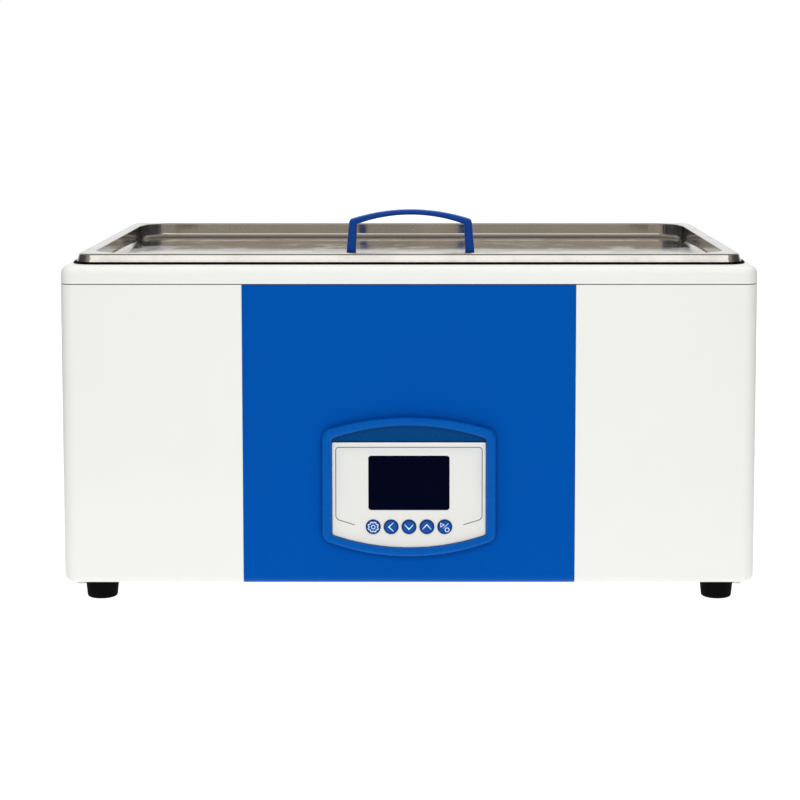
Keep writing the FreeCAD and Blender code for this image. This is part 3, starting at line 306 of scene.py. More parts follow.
wire(sky, room_light.outputs[0], seen.inputs[1])
wire(sky, seen_white.outputs[0], seen.inputs[2])
wire(sky, seen.outputs[0], sky.nodes["World Output"].inputs["Surface"])
bpy.context.scene.world = world
bpy.context.scene.view_settings.view_transform = "Standard"

# %% [markdown]
# ## Shader groups
#
# Several finishes share the same small effects: the grain of a coating, the marks of
# handling, dust and painted shade in corners, brushed lines, hairline scratches and the
# lighter, smoother edges that rubbing leaves, lit further by a painted highlight.  Each effect
# is one node group with its sizes as inputs, so a finish only says how coarse and how strong
# it is.  The groups read Object coordinates in metres, so a size is the size on the real thing.

# %% Start a node group
def start_group(name, inputs, outputs):
    """Empty group with float inputs {label: default} and float outputs [label]."""
    group = bpy.data.node_groups.new(name, "ShaderNodeTree")
    for label, value in inputs.items():
        kind = "NodeSocketVector" if isinstance(value, tuple) else "NodeSocketFloat"
        socket = group.interface.new_socket(name=label, in_out="INPUT", socket_type=kind)
        socket.default_value = value
    for label in outputs:
        group.interface.new_socket(name=label, in_out="OUTPUT", socket_type="NodeSocketFloat")
    source = group.nodes.new("NodeGroupInput")
    sink = group.nodes.new("NodeGroupOutput")
    return group, source.outputs, sink.inputs


def noise_at(tree, size, stretch=None, detail=2.0):
    """Noise in Object coordinates whose blobs are about size across."""
    place = object_place(tree)
    if stretch is not None:
        squeeze = tree.nodes.new("ShaderNodeVectorMath")
        squeeze.operation = "DIVIDE"
        wire(tree, place, squeeze.inputs[0])
        wire(tree, stretch, squeeze.inputs[1])
        place = squeeze.outputs[0]
    pattern = tree.nodes.new("ShaderNodeTexNoise")
    wire(tree, place, pattern.inputs["Vector"])
    wire(tree, maths(tree, "DIVIDE", 1.0, size), pattern.inputs["Scale"])
    wire(tree, detail, pattern.inputs["Detail"])
    return pattern.outputs["Fac"]


# %% Fine grain
fine_grain, given, gives = start_group("fine_grain", {"Size": 1 * MM, "Detail": 2.0}, ["Height"])
wire(fine_grain, noise_at(fine_grain, given["Size"], detail=given["Detail"]), gives["Height"])

# %% Handling marks
BROAD_MARKS = (0.42, 0.68)     # noise from which marks begin and at which they are full
CLOSE_SIZE = 0.16              # of the small marks, as a share of the broad ones

handling, given, gives = start_group("handling", {"Size": 60 * MM}, ["Mask"])
broad = ramp(handling, noise_at(handling, given["Size"]), *BROAD_MARKS)
close = noise_at(handling, maths(handling, "MULTIPLY", given["Size"], CLOSE_SIZE), detail=3.0)
wire(handling, maths(handling, "MULTIPLY", broad, close), gives["Mask"])

# %% Dust and painted shade in corners
DUST_AND_SHADE_PATCH = 5 * MM
THINNEST_DUST_AND_SHADE = 0.4

# Dust and painted shade: darker wherever ambient occlusion finds the surface sheltered.
corner_dust_and_shade, given, gives = start_group("corner_dust_and_shade", {"Reach": 6 * MM}, ["Mask"])
shelter = corner_dust_and_shade.nodes.new("ShaderNodeAmbientOcclusion")
shelter.samples = 4
wire(corner_dust_and_shade, given["Reach"], shelter.inputs["Distance"])
hidden = maths(corner_dust_and_shade, "SUBTRACT", 1.0, shelter.outputs["AO"])
patchy = ramp(corner_dust_and_shade, noise_at(corner_dust_and_shade, DUST_AND_SHADE_PATCH, detail=4.0), 0.3, 0.7, THINNEST_DUST_AND_SHADE)
wire(corner_dust_and_shade, maths(corner_dust_and_shade, "MULTIPLY", hidden, patchy), gives["Mask"])

# %% Brushed lines
brushed, given, gives = start_group(
    "brushed", {"Size": 0.3 * MM, "Stretch": (60.0, 1.0, 1.0)}, ["Height"])
wire(brushed, noise_at(brushed, given["Size"], given["Stretch"], 3.0), gives["Height"])

# %% Hairline scratches
SCRATCH_RUNS = [(9.0, 1.0, 3.0), (1.0, 7.0, 2.0), (4.0, 3.0, 1.0)]
SCRATCH_LENGTH = 20 * MM

hairlines, given, gives = start_group("hairlines", {"Size": 8 * MM, "Width": 0.006}, ["Mask"])
lines = []
for stretch in SCRATCH_RUNS:
    field = noise_at(hairlines, given["Size"], stretch, 1.0)
    off_line = maths(hairlines, "ABSOLUTE", maths(hairlines, "SUBTRACT", field, 0.5))
    lines.append(ramp(hairlines, off_line, 0.0, given["Width"], 1.0, 0.0))
broken = ramp(hairlines, noise_at(hairlines, SCRATCH_LENGTH), 0.45, 0.6)
thickest = maths(hairlines, "MAXIMUM", maths(hairlines, "MAXIMUM", *lines[:2]), lines[2])
wire(hairlines, maths(hairlines, "MULTIPLY", thickest, broken), gives["Mask"])

# %% Rubbed edges and painted highlight
RUBBED_AND_HIGHLIT = (0.01, 0.12)          # turn of the surface at which rubbing and the painted highlight begin and are full

# Wear and painted highlight: lighter wherever a bevelled normal turns from the surface's own.
rubbed_and_highlit_edge, given, gives = start_group("rubbed_and_highlit_edge", {"Radius": 1 * MM}, ["Mask"])
rounded = rubbed_and_highlit_edge.nodes.new("ShaderNodeBevel")
rounded.samples = 4
wire(rubbed_and_highlit_edge, given["Radius"], rounded.inputs["Radius"])
facing = rubbed_and_highlit_edge.nodes.new("ShaderNodeNewGeometry")
along = rubbed_and_highlit_edge.nodes.new("ShaderNodeVectorMath")
along.operation = "DOT_PRODUCT"
wire(rubbed_and_highlit_edge, rounded.outputs["Normal"], along.inputs[0])
wire(rubbed_and_highlit_edge, facing.outputs["Normal"], along.inputs[1])
turned = maths(rubbed_and_highlit_edge, "SUBTRACT", 1.0, along.outputs["Value"])
wire(rubbed_and_highlit_edge, ramp(rubbed_and_highlit_edge, turned, *RUBBED_AND_HIGHLIT), gives["Mask"])
print("groups", [group.name for group in bpy.data.node_groups])

# %% [markdown]
# ## Building a finish
#
# A finish starts as a Principled shader with its constant values set on its own sockets.
# What changes over the surface is added after that: a colour that drifts between two close
# tones, a roughness that the handling marks raise or lower, and a bump from the grain.

# %% Helpers for finishes
WELL_HANDLED = 0.6             # where the handling marks are at their fullest


def effect(tree, group, **sizes):
    """Place a shader group with its own values and give its one output."""
    node = tree.nodes.new("ShaderNodeGroup")
    node.node_tree = group
    for label, value in sizes.items():
        node.inputs[label].default_value = value
    return node.outputs[0]


def wear_with_painted_light(tree, colour, radius, edge, reach, dust_and_shade):
    """Colour with a painted highlight on worn edges and dust and painted shade in corners."""
    if radius:
        colour = between(tree, effect(tree, rubbed_and_highlit_edge, Radius=radius), colour, edge)
    return between(tree, effect(tree, corner_dust_and_shade, Reach=reach), colour, dust_and_shade)


def handled(tree, size, clean, marked):
    """Roughness that goes from clean to marked where hands have been."""
    return ramp(tree, effect(tree, handling, Size=size), 0.0, WELL_HANDLED, clean, marked)


def raised(tree, height, depth, over=None):
    """Bump of this depth in metres, on top of another bump if one is given."""
    bump = tree.nodes.new("ShaderNodeBump")
    bump.inputs["Strength"].default_value = 1.0
    bump.inputs["Distance"].default_value = depth
    wire(tree, height, bump.inputs["Height"])
    if over is not None:
        wire(tree, over, bump.inputs["Normal"])
    return bump.outputs["Normal"]


def grained(tree, size, depth, detail=1.0, over=None):
    """Bump of a fine grain of this size and depth."""
    return raised(tree, effect(tree, fine_grain, Size=size, Detail=detail), depth, over=over)


# %% [markdown]
# ## White powder coat
#
# The cabinet and the deck are folded steel under a warm white powder coat.  Baked powder is
# never quite flat: it has a fine orange peel about a millimetre across, its tone drifts a
# little from panel to panel, fingers leave it slightly smoother, and on the rims it is
# rubbed brighter and carries a painted highlight.  A little grey, dust and painted shade,
# gathers in the seams.

# %% White powder coat
white_coat, tree, sockets = new_finish("white_powder_coat", 0.42, Specular_IOR_Level=0.3)
drift = effect(tree, handling, Size=180 * MM)
coat = between(tree, drift, (0.845, 0.860, 0.838), (0.82, 0.835, 0.813))
# Painted highlight on the rubbed rims, dust and painted shade in the seams.
coat = wear_with_painted_light(tree, coat, 1.2 * MM, (0.885, 0.895, 0.875), 3 * MM, (0.64, 0.64, 0.61))
wire(tree, coat, sockets["Base Color"])
wire(tree, handled(tree, 50 * MM, 0.45, 0.34), sockets["Roughness"])
wire(tree, grained(tree, 1.1 * MM, 0.012 * MM), sockets["Normal"])

# %% [markdown]
# ## Blue coats and mouldings
#
# The middle panel is a sheet with a deep blue satin coat.  The bezel, the keys and the lid
# handle are moulded in nearly the same blue, a little glossier, with the very fine texture
# of an etched mould.  Blue pigment this strong leaves no red at all, so the gloss over it is
# tinted blue too, or it would look milky.

# %% Blue coat of the panel
blue_coat, tree, sockets = new_finish("blue_satin_coat", 0.4, Specular_IOR_Level=0.22,
                                      Specular_Tint=(0.05, 0.45, 1.0, 1))
drift = effect(tree, handling, Size=120 * MM)
coat = between(tree, drift, (0.0, 0.078, 0.405), (0.0, 0.072, 0.385))
# Painted highlight on the rubbed edges, dust and painted shade in corners and round the bezel.
coat = wear_with_painted_light(tree, coat, 0.8 * MM, (0.01, 0.12, 0.5), 3 * MM, (0.0, 0.05, 0.26))
wire(tree, coat, sockets["Base Color"])
wire(tree, handled(tree, 45 * MM, 0.44, 0.33), sockets["Roughness"])
wire(tree, grained(tree, 0.8 * MM, 0.008 * MM), sockets["Normal"])


# %% Blue mouldings
def blue_moulding(name, body, edge, shade, roughness, pocket=None):
    """Moulded plastic: painted highlight on worn edges, painted shade in corners and on the
    pocket floor.
    """
    material, tree, sockets = new_finish(name, roughness, Specular_IOR_Level=0.4,
                                         Specular_Tint=(0.1, 0.5, 1.0, 1))
    drift = effect(tree, handling, Size=35 * MM)
    skin = between(tree, drift, body, tuple(0.93 * part for part in body))
    skin = wear_with_painted_light(tree, skin, 1.0 * MM, edge, 4 * MM, shade)
    if pocket is not None:
        skin = sunk(tree, skin, shade, pocket)
    wire(tree, skin, sockets["Base Color"])
    wire(tree, handled(tree, 22 * MM, roughness + 0.03, roughness - 0.07), sockets["Roughness"])
    soft_edge = tree.nodes.new("ShaderNodeBevel")
    soft_edge.samples = 6
    soft_edge.inputs["Radius"].default_value = 2.6 * MM
    etched = grained(tree, 0.35 * MM, 0.006 * MM, 2.0, over=soft_edge.outputs["Normal"])
    wire(tree, etched, sockets["Normal"])
    return material


def sunk(tree, skin, shade, pocket):
    """Shade the floor of the pocket, and more so in a line above the fascia's edge."""
    place = split_axes(tree, object_place(tree))
    deep = maths(tree, "GREATER_THAN", place["Y"], pocket - POCKET_NEAR)
    shallow = maths(tree, "LESS_THAN", place["Y"], pocket + POCKET_NEAR)
    pocket_floor = maths(tree, "MULTIPLY", deep, shallow)
    skin = between(tree, pocket_floor, skin, shade)
    line = maths(tree, "LESS_THAN", place["Z"], fascia_high.z + SHADOW_LINE)
    return between(tree, maths(tree, "MULTIPLY", pocket_floor, line), skin, (0.0, 0.012, 0.06))


POCKET_NEAR = 0.5 * MM         # how close to the pocket's floor counts as on it
SHADOW_LINE = 0.9 * MM

fascia_low, fascia_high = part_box("control_fascia")
# Edge tone: painted highlight on worn edges; shade tone: painted shade in corners and on the
# pocket floor.
bezel_blue = blue_moulding("bezel_plastic", (0.0, 0.088, 0.415), (0.0, 0.20, 0.75),
                           (0.0, 0.045, 0.19), 0.3, pocket=fascia_high.y)
handle_blue = blue_moulding("handle_plastic", (0.012, 0.066, 0.37), (0.016, 0.095, 0.46),
                            (0.002, 0.014, 0.08), 0.34)

# %% [markdown]
# ## Keys
#
# Each key is a short round cap.  A painted shade makes its colour deepest round the rim, where
# the moulding turns down into its hole, and it is brightest in the middle.  The caps sit at
# one spacing along X, so one finish serves all five: the distance from the nearest cap centre
# is worked out from the Object coordinates.

# %% Key finish
KEYS = ["key_settings", "key_left", "key_down", "key_up", "key_start_stop"]


def middle_of(node):
    """Middle of a node's box."""
    low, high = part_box(node)
    return (low + high) / 2


key_middle = middle_of("key_down")
key_pitch = middle_of("key_up").x - key_middle.x
KEY_RADIUS = 5.9 * MM

key_blue, tree, sockets = new_finish("key_plastic", 0.22, Specular_IOR_Level=0.35,
                                     Specular_Tint=(0.4, 0.7, 1.0, 1))
place = split_axes(tree, object_place(tree))
steps = maths(tree, "ROUND", maths(tree, "DIVIDE", place["X"], key_pitch))
across = maths(tree, "SUBTRACT", place["X"], maths(tree, "MULTIPLY", steps, key_pitch))
above = maths(tree, "SUBTRACT", place["Z"], key_middle.z)
squares = [maths(tree, "MULTIPLY", side, side) for side in (across, above)]
out_from_middle = maths(tree, "SQRT", maths(tree, "ADD", *squares))
# Painted shade darkens each cap towards its rim.
rim_shade = ramp(tree, out_from_middle, 0.6 * KEY_RADIUS, 0.97 * KEY_RADIUS)
cap = between(tree, rim_shade, (0.0, 0.07, 0.35), (0.0, 0.026, 0.16))
wire(tree, cap, sockets["Base Color"])
wire(tree, handled(tree, 6 * MM, 0.26, 0.16), sockets["Roughness"])
wire(tree, grained(tree, 0.25 * MM, 0.003 * MM), sockets["Normal"])
print("key pitch, mm:", round(key_pitch / MM, 2))

# %% [markdown]
# ## Fascia and display
#
# The fascia is a printed overlay on a white plate.  Just inside its border line a painted
# shade turns the print very slightly to a cooler grey, a painted highlight runs along the
# plate's top edge, and dust and painted shade darken it along the bezel.  It has the fine
# matt texture that keeps reflections off the legends.  The display window is smoked and off:
# nearly black, with a trace of blue, and it reflects almost nothing.

# %% Fascia
BORDER_HALF_WIDTH = 59.2 * MM
BORDER_TOP = fascia_high.z - 3.4 * MM
TOP_EDGE_HIGHLIGHT = 0.8 * MM         # painted highlight along the top of the plate

fascia_white, tree, sockets = new_finish("fascia_overlay", 0.45, Specular_IOR_Level=0.25)
place = split_axes(tree, object_place(tree))
# Painted shade: a cooler grey just inside the border line, strongest near its top.
side = maths(tree, "SUBTRACT", BORDER_HALF_WIDTH, maths(tree, "ABSOLUTE", place["X"]))
below = maths(tree, "SUBTRACT", BORDER_TOP, place["Z"])
nearest = maths(tree, "MINIMUM", side, below)
near_border = ramp(tree, nearest, 0.0, 9 * MM, 1.0, 0.0)
inside = maths(tree, "GREATER_THAN", nearest, 0.0)
upper = ramp(tree, below, 20 * MM, 60 * MM, 1.0, 0.2)
painted_border_shade = maths(tree, "MULTIPLY", maths(tree, "MULTIPLY", near_border, inside), upper)
overlay = between(tree, painted_border_shade, (0.775, 0.785, 0.765), (0.70, 0.73, 0.745))
overlay = between(tree, effect(tree, handling, Size=25 * MM), overlay, (0.755, 0.765, 0.745))
# Painted highlight along the top edge of the plate.
top_edge_highlight = maths(tree, "GREATER_THAN", place["Z"], fascia_high.z - TOP_EDGE_HIGHLIGHT)
overlay = between(tree, top_edge_highlight, overlay, (0.90, 0.94, 0.97))
# Dust and painted shade along the bezel's inner wall.
overlay = wear_with_painted_light(tree, overlay, None, None, 2.5 * MM, (0.42, 0.44, 0.47))
wire(tree, overlay, sockets["Base Color"])
wire(tree, handled(tree, 15 * MM, 0.5, 0.36), sockets["Roughness"])
wire(tree, grained(tree, 0.2 * MM, 0.003 * MM), sockets["Normal"])

# %% Display window
display_black, tree, sockets = new_finish("display_window_smoked", 0.07,
                                          Specular_IOR_Level=0.08,
                                          Specular_Tint=(0.15, 0.25, 1.0, 1))
tone = between(tree, effect(tree, handling, Size=30 * MM),
               (0.0003, 0.0005, 0.0035), (0.0005, 0.0008, 0.0045))
wire(tree, tone, sockets["Base Color"])
wire(tree, handled(tree, 12 * MM, 0.05, 0.16), sockets["Roughness"])

# %% [markdown]
# ## Stainless steel
#
# The lid is pressed from polished sheet.  Polishing leaves it a true mirror, but never a
# flat one: the sheet has slow waves from pressing, faint lines from the mop, hairline
# scratches from use, and dull patches where water has dried.  The tank and the shelf are
# the same steel left satin, with straight brushed lines.

# %% Polished lid
mirror_steel, tree, sockets = new_finish("polished_stainless", 0.08, 1.0)
stains = effect(tree, handling, Size=45 * MM)
steel = between(tree, stains, (0.60, 0.585, 0.555), (0.555, 0.54, 0.51))
# Dust and painted shade in the hollows of the lid.
steel = wear_with_painted_light(tree, steel, None, None, 3 * MM, (0.22, 0.20, 0.17))
wire(tree, steel, sockets["Base Color"])
mop_lines = effect(tree, brushed, Size=0.25 * MM, Stretch=(80.0, 1.0, 1.0))
hair = effect(tree, hairlines, Size=7 * MM, Width=0.004)
patches = ramp(tree, stains, 0.0, WELL_HANDLED, 0.06, 0.15)
dull = maths(tree, "ADD", patches, maths(tree, "MULTIPLY", hair, 0.14))
dull = maths(tree, "ADD", dull, maths(tree, "MULTIPLY", mop_lines, 0.03))
wire(tree, dull, sockets["Roughness"])
waves = grained(tree, 70 * MM, 0.12 * MM)
wire(tree, raised(tree, mop_lines, 0.0012 * MM, over=waves), sockets["Normal"])


# %% Satin steel and other bare metals
def bare_metal(name, light, dark, roughness, line_size, stretch, depth):
    """Metal with machining or brushing lines and patchy roughness."""
    material, tree, sockets = new_finish(name, roughness, 1.0)
    patches = effect(tree, handling, Size=30 * MM)
    # Dust and painted shade in corners, in a darker tone of the metal.
    tone = wear_with_painted_light(tree, between(tree, patches, light, dark), None, None,
                3 * MM, tuple(0.4 * part for part in dark))
    wire(tree, tone, sockets["Base Color"])
    tool_lines = effect(tree, brushed, Size=line_size, Stretch=stretch)
    dull = ramp(tree, patches, 0.0, WELL_HANDLED, roughness - 0.04, roughness + 0.06)
    dull = maths(tree, "ADD", dull, maths(tree, "MULTIPLY", tool_lines, 0.08))
    wire(tree, dull, sockets["Roughness"])
    wire(tree, raised(tree, tool_lines, depth), sockets["Normal"])
    return material


satin_steel = bare_metal("satin_stainless_sheet", (0.56, 0.55, 0.53), (0.47, 0.46, 0.44), 0.27,
                         0.3 * MM, (70.0, 1.0, 1.0), 0.003 * MM)
screw_steel = bare_metal("zinc_plated_steel", (0.62, 0.62, 0.60), (0.46, 0.45, 0.42), 0.3,
                         0.15 * MM, (1.0, 1.0, 20.0), 0.004 * MM)
nickel_brass = bare_metal("nickelled_brass", (0.64, 0.58, 0.46), (0.50, 0.43, 0.30), 0.28,
                          0.2 * MM, (1.0, 12.0, 1.0), 0.004 * MM)
milled_aluminium = bare_metal("milled_aluminium", (0.74, 0.75, 0.76), (0.62, 0.63, 0.64),
                              0.33, 0.25 * MM, (1.0, 40.0, 1.0), 0.004 * MM)

# %% [markdown]
# ## Coated sheet, rubber and black plastic
#
# The base pan and the rear panel have a plain light grey coat.  The feet and the gaskets
# are black rubber with a dry, slightly dusty skin.  The inlet, the switch and the housings
# inside are black plastic with a spark-eroded mould texture.

# %% Grey coat
grey_coat, tree, sockets = new_finish("grey_coat", 0.5, Specular_IOR_Level=0.3)
drift = effect(tree, handling, Size=90 * MM)
coat = between(tree, drift, (0.70, 0.71, 0.69), (0.63, 0.64, 0.62))
# Painted highlight on the rubbed edges, dust and painted shade in corners.
coat = wear_with_painted_light(tree, coat, 0.8 * MM, (0.77, 0.78, 0.76), 6 * MM, (0.33, 0.32, 0.30))
wire(tree, coat, sockets["Base Color"])
wire(tree, handled(tree, 40 * MM, 0.55, 0.42), sockets["Roughness"])
wire(tree, grained(tree, 0.9 * MM, 0.02 * MM, 2.0), sockets["Normal"])


# %% Rubber and black plastic
def moulded(name, body, dust_and_shade, roughness, grain_size, grain_depth, gloss=0.3):
    """Matt moulded skin: two close tones, mould texture; a lighter corner tone is dust, a darker
    one painted shade.
    """
    material, tree, sockets = new_finish(name, roughness, Specular_IOR_Level=gloss)
    patches = effect(tree, handling, Size=20 * MM)
    skin = between(tree, patches, body, tuple(0.8 * part for part in body))
    wire(tree, wear_with_painted_light(tree, skin, None, None, 4 * MM, dust_and_shade), sockets["Base Color"])
    dull = ramp(tree, patches, 0.0, WELL_HANDLED, roughness, roughness - 0.1)
    wire(tree, dull, sockets["Roughness"])
    wire(tree, grained(tree, grain_size, grain_depth, 3.0), sockets["Normal"])
    return material


rubber = moulded("black_rubber_skin", (0.002, 0.002, 0.002), (0.006, 0.006, 0.006), 0.75,
                 0.4 * MM, 0.02 * MM, 0.05)
black_plastic = moulded("black_moulding", (0.013, 0.013, 0.014), (0.03, 0.03, 0.028), 0.45,
                        0.3 * MM, 0.015 * MM)
# Its corner tone is darker than its body: painted shade.
support_block = moulded("grey_block", (0.22, 0.22, 0.21), (0.12, 0.12, 0.11), 0.7,
                        0.8 * MM, 0.05 * MM)

# %% [markdown]
# ## Inside the cabinet
#
# The parts behind the panels get the same care, since the cabinet can be opened in an
# exploded view: a solder-masked board with copper tracks under its lacquer, mineral wool
# with loose fibres, silicone sleeving with a woven look, and a clear glass fuse.

# %% Circuit board
board_green, tree, sockets = new_finish("solder_mask", 0.3, Specular_IOR_Level=0.5)
place = split_axes(tree, object_place(tree))
TRACK_PITCH = 2.54 * MM
TRACK_EDGE = (0.12, 0.17)      # from a track's middle, as shares of the pitch
tracks = []
for axis in ("X", "Z"):
    phase = maths(tree, "FRACT", maths(tree, "DIVIDE", place[axis], TRACK_PITCH))
    off_track = maths(tree, "ABSOLUTE", maths(tree, "SUBTRACT", phase, 0.5))
    tracks.append(ramp(tree, off_track, *TRACK_EDGE, 1.0, 0.0))
turned = ramp(tree, noise_at(tree, 9 * MM, (4.0, 4.0, 1.0)), 0.49, 0.51)
copper = between(tree, turned, *tracks)
green = between(tree, copper, (0.008, 0.075, 0.028), (0.02, 0.16, 0.06))
wire(tree, green, sockets["Base Color"])
wire(tree, raised(tree, copper, 0.03 * MM), sockets["Normal"])
wire(tree, handled(tree, 20 * MM, 0.3, 0.42), sockets["Roughness"])

# %% Wool, sleeving and glass
wool, tree, sockets = new_finish("mineral_wool_felt", 0.95, Specular_IOR_Level=0.1,
                                 Sheen_Weight=0.3)
fibres = effect(tree, brushed, Size=0.5 * MM, Stretch=(6.0, 5.0, 1.0))
clumps = effect(tree, fine_grain, Size=6 * MM, Detail=5.0)
felt = between(tree, fibres, (0.50, 0.46, 0.33), (0.68, 0.65, 0.54))
felt = between(tree, ramp(tree, clumps, 0.35, 0.7), felt, (0.58, 0.54, 0.42))
wire(tree, felt, sockets["Base Color"])
loose = raised(tree, clumps, 1.2 * MM)
wire(tree, raised(tree, fibres, 0.4 * MM, over=loose), sockets["Normal"])
wire(tree, ramp(tree, clumps, 0.3, 0.7, 0.9, 1.0), sockets["Roughness"])

sleeving, tree, sockets = new_finish("silicone_sleeving", 0.55, Specular_IOR_Level=0.35)
weave = effect(tree, brushed, Size=0.35 * MM, Stretch=(1.0, 3.0, 3.0))
tone = between(tree, weave, (0.52, 0.47, 0.38), (0.66, 0.62, 0.53))
tone = between(tree, effect(tree, handling, Size=18 * MM), tone, (0.46, 0.41, 0.33))
wire(tree, tone, sockets["Base Color"])
wire(tree, ramp(tree, weave, 0.3, 0.7, 0.5, 0.62), sockets["Roughness"])
wire(tree, raised(tree, weave, 0.08 * MM), sockets["Normal"])

fuse_glass, tree, sockets = new_finish("fuse_glass", 0.05, IOR=1.5, Transmission_Weight=0.9)
smears = effect(tree, handling, Size=4 * MM)
wire(tree, between(tree, smears, (0.85, 0.88, 0.88), (0.75, 0.79, 0.80)), sockets["Base Color"])
wire(tree, ramp(tree, smears, 0.0, WELL_HANDLED, 0.03, 0.12), sockets["Roughness"])

# %% Put the finishes on
finishes = {
    "white_casing": white_coat,
    "blue_panel": blue_coat,
    "blue_plastic": bezel_blue,
    "fascia_white": fascia_white,
    "display_dark": display_black,
    "mirror_stainless": mirror_steel,
    "satin_stainless": satin_steel,
    "coated_steel": grey_coat,
    "screw_steel": screw_steel,
    "plated_brass": nickel_brass,
    "fin_aluminium": milled_aluminium,
    "black_rubber": rubber,
    "black_plastic": black_plastic,
    "support_grey": support_block,
    "board_green": board_green,
    "mineral_wool": wool,
    "lead_sleeve": sleeving,
    "fuse_glass": fuse_glass,
}
own_finish = {"lid_handle": handle_blue}
own_finish.update({name: key_blue for name in KEYS})
for part in frame["record"]["subparts"]:
    name = part["node"]
    paint(nodes[name], own_finish.get(name, finishes[part["material_slot"]]))

# %% [markdown]
# ## Printed inks
#
# The border line on the fascia and the symbols on the keys are screen printed: a film of ink
# a few hundredths of a millimetre thick.  Each is made as a real thin piece, so that its edge
# stays crisp at any distance.  The ink has a slight mottle and a gloss of its own.

# %% Inks
def ink(name, light, dark, roughness):
    """Screen-printed ink film."""
    material, tree, sockets = new_finish(name, roughness, Specular_IOR_Level=0.3)
    mottle = effect(tree, fine_grain, Size=0.6 * MM, Detail=2.0)
    wire(tree, between(tree, mottle, light, dark), sockets["Base Color"])
    wire(tree, ramp(tree, mottle, 0.3, 0.7, roughness, roughness + 0.12), sockets["Roughness"])
    wire(tree, raised(tree, mottle, 0.004 * MM), sockets["Normal"])
    return material


line_ink = ink("grey_ink", (0.17, 0.175, 0.19), (0.11, 0.115, 0.13), 0.4)
symbol_ink = ink("pale_ink", (0.78, 0.90, 1.0), (0.66, 0.80, 0.95), 0.35)

# %% [markdown]
# ## Border line on the fascia
#
# The line runs up both sides and across the top of the overlay, with rounded corners, and
# its two lower ends slope in towards the keys.  It could be a curve with a bevel, but a
# printed line is flat with square edges.  So a plate of the outline's shape is inset by the
# line's width, its middle and its lowest side are taken away, and what is left is given the
# thickness of ink.

# %% Border line
LINE_WIDTH = 0.7 * MM
INK = 0.05 * MM
BORDER_LOW = 65.7 * MM
BORDER_SLOPE_START = 70.5 * MM
BORDER_FOOT = 43.9 * MM
BORDER_CORNER = 3.0 * MM


def edit(piece, kind="FACE"):
    """Enter edit mode with nothing selected and give the mesh for selecting in."""
    pick(piece)
    bpy.ops.object.mode_set(mode="EDIT")
    bpy.ops.mesh.select_mode(type=kind)
    bpy.ops.mesh.select_all(action="DESELECT")
    return bmesh.from_edit_mesh(piece.data)


def choose(piece, kind, wanted):
    """Select the faces, edges or vertices whose middle is wanted, and say how many."""
    mesh = bmesh.from_edit_mesh(piece.data)
    bpy.ops.mesh.select_mode(type=kind)
    bpy.ops.mesh.select_all(action="DESELECT")
    found = 0
    for item in {"FACE": mesh.faces, "EDGE": mesh.edges, "VERT": mesh.verts}[kind]:
        if kind == "VERT":
            place = item.co
        elif kind == "EDGE":
            place = (item.verts[0].co + item.verts[1].co) / 2
        else:
            place = item.calc_center_median()
        if wanted(place):
            item.select_set(True)
            found += 1
    bmesh.update_edit_mesh(piece.data)
    return found


def thicken(piece, depth):
    """Turn a flat shape that faces the front into a film of this depth."""
    pick(piece)
    film = piece.modifiers.new("Film", "SOLIDIFY")
    film.thickness = depth
    film.offset = 0.0
    bpy.ops.object.modifier_apply(modifier=film.name)


clear_selection()
border_middle = (BORDER_TOP + BORDER_LOW) / 2
bpy.ops.mesh.primitive_plane_add(size=1.0, location=(0, 0, 0))
border = bpy.context.object
border.name = "fascia_border_line"
border.scale = (2 * BORDER_HALF_WIDTH, BORDER_TOP - BORDER_LOW, 1)
seat(border)
edit(border)
bpy.ops.mesh.select_all(action="SELECT")
slope_line = BORDER_SLOPE_START - border_middle
bpy.ops.mesh.bisect(plane_co=(0, slope_line, 0), plane_no=(0, 1, 0))
choose(border, "VERT", lambda at: at.y < slope_line - 1 * MM)
bpy.ops.transform.resize(value=(BORDER_FOOT / BORDER_HALF_WIDTH, 1, 1))
choose(border, "EDGE", lambda at: abs(at.x) < 1 * MM and abs(at.y - slope_line) < 1 * MM)
bpy.ops.mesh.dissolve_edges(use_verts=False)
choose(border, "VERT", lambda at: at.y > slope_line - 1 * MM)
bpy.ops.mesh.bevel(offset=BORDER_CORNER, segments=6, affect="VERTICES")
choose(border, "FACE", lambda at: True)
bpy.ops.mesh.inset(thickness=LINE_WIDTH)
bpy.ops.mesh.delete(type="FACE")
lowest = BORDER_LOW - border_middle
choose(border, "FACE", lambda at: at.y < lowest + LINE_WIDTH and abs(at.x) < 1 * MM)
bpy.ops.mesh.delete(type="FACE")
clear_selection()
border.rotation_euler = (math.pi / 2, 0, 0)
border.location = (0, fascia_low.y, border_middle)
seat(border)
thicken(border, INK)
paint(border, line_ink)
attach(border, "cabinet")
print("border line, mm:", size_of(border), "faces", len(border.data.polygons))

# %% [markdown]
# ## Key symbols
#
# The five keys carry plain symbols: a gear for settings, three chevrons for left, down and
# up, and a triangle, stroke and ring for start and stop.  One chevron serves three keys: a
# strip is cut in the middle, its middle is pushed out to a point and its ends are narrowed.
# Each copy has its own mesh and is turned before its place is applied.

# %% Chevron
CHEVRON_HALF = 3.5 * MM
CHEVRON_RISE = 3.8 * MM
STROKE = 1.3 * MM


def place_symbol(piece, key_name, turn=0.0, offset=(0.0, 0.0)):
    """Stand a flat symbol up on its key, turned and shifted, and print it there."""
    cap_low, cap_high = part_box(key_name)
    centre = (cap_low + cap_high) / 2
    piece.rotation_euler = (math.pi / 2, turn, 0)
    piece.location = (centre.x + offset[0], cap_low.y, centre.z + offset[1])
    seat(piece)
    thicken(piece, INK)
    paint(piece, symbol_ink)
    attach(piece, key_name + "_cap")
    print(piece.name, "mm:", size_of(piece))


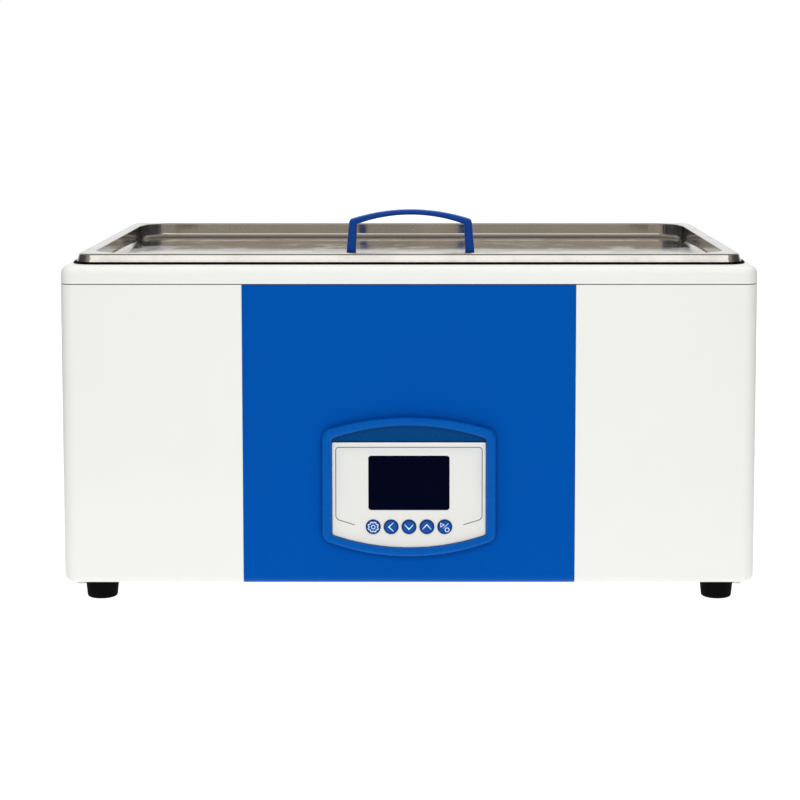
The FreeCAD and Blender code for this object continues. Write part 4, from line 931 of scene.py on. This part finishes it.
clear_selection()
bpy.ops.mesh.primitive_plane_add(size=1.0, location=(0, 0, 0))
chevron = bpy.context.object
chevron.scale = (2 * CHEVRON_HALF, STROKE, 1)
seat(chevron)
edit(chevron)
bpy.ops.mesh.select_all(action="SELECT")
bpy.ops.mesh.bisect(plane_co=(0, 0, 0), plane_no=(1, 0, 0))
choose(chevron, "VERT", lambda at: abs(at.x) < 0.1 * MM)
bpy.ops.transform.translate(value=(0, CHEVRON_RISE, 0))
choose(chevron, "VERT", lambda at: abs(at.x) > CHEVRON_HALF / 2)
bpy.ops.transform.resize(value=(1, 0.5, 1))
bpy.ops.mesh.select_all(action="SELECT")
bpy.ops.transform.translate(value=(0, -CHEVRON_RISE / 2, 0))
clear_selection()

up = chevron
up.name = "symbol_up"
down = up.copy()
down.data = up.data.copy()
down.name = "symbol_down"
left = up.copy()
left.data = up.data.copy()
left.name = "symbol_left"
for copy in (down, left):
    bpy.context.scene.collection.objects.link(copy)
place_symbol(up, "key_up")
place_symbol(down, "key_down", turn=math.pi)
place_symbol(left, "key_left", turn=-math.pi / 2)

# %% [markdown]
# ## Gear, triangle, stroke and ring
#
# The gear is an outline with eight soft lobes round a small ring.  It starts as a filled
# circle: every other group of its corners is drawn in, which leaves the lobes, and an inset
# and a deleted middle turn the plate into a line.  The ring and the triangle are lines made
# in the same way from a circle of many sides and of three.

# %% Outlined symbols
def outline(name, sides, radius, line, lobes=0, lobe_depth=0.0):
    """Flat outline of a circle or polygon; lobes draws every other group of corners in."""
    clear_selection()
    bpy.ops.mesh.primitive_circle_add(vertices=sides, radius=radius, fill_type="NGON")
    shape = bpy.context.object
    shape.name = name
    mesh = edit(shape, "VERT")
    if lobes:
        per_lobe = sides // lobes
        for corner in mesh.verts:
            around = math.atan2(corner.co.y, corner.co.x) / (2 * math.pi) * sides
            corner.select_set(round(around) % per_lobe in (0, 1, per_lobe - 1))
        bmesh.update_edit_mesh(shape.data)
        inwards = 1 - lobe_depth / radius
        bpy.ops.transform.resize(value=(inwards, inwards, 1))
    choose(shape, "FACE", lambda at: True)
    bpy.ops.mesh.inset(thickness=line)
    bpy.ops.mesh.delete(type="FACE")
    clear_selection()
    return shape


gear = outline("symbol_gear", sides=64, radius=4.5 * MM, line=0.6 * MM,
               lobes=8, lobe_depth=0.75 * MM)
place_symbol(gear, "key_settings")
hub = outline("symbol_gear_hub", sides=32, radius=1.75 * MM, line=0.55 * MM)
place_symbol(hub, "key_settings")

start = outline("symbol_start", sides=3, radius=2.3 * MM, line=0.45 * MM)
place_symbol(start, "key_start_stop", turn=math.pi / 2, offset=(-2.3 * MM, 1.6 * MM))
stop = outline("symbol_stop", sides=28, radius=1.9 * MM, line=0.6 * MM)
place_symbol(stop, "key_start_stop", offset=(1.9 * MM, -2.3 * MM))

# %% Stroke between start and stop
SLASH_WIDTH = 0.45 * MM
SLASH_LENGTH = 5.6 * MM
LOWER_END = 0.55               # width there, as a share of the upper end's

clear_selection()
bpy.ops.mesh.primitive_plane_add(size=1.0, location=(0, 0, 0))
stroke = bpy.context.object
stroke.name = "symbol_stroke"
stroke.scale = (SLASH_WIDTH, SLASH_LENGTH, 1)
seat(stroke)
edit(stroke)
choose(stroke, "VERT", lambda at: at.y < 0)
bpy.ops.transform.resize(value=(LOWER_END, 1, 1))
clear_selection()
place_symbol(stroke, "key_start_stop", turn=math.pi / 4, offset=(0.9 * MM, 0.9 * MM))
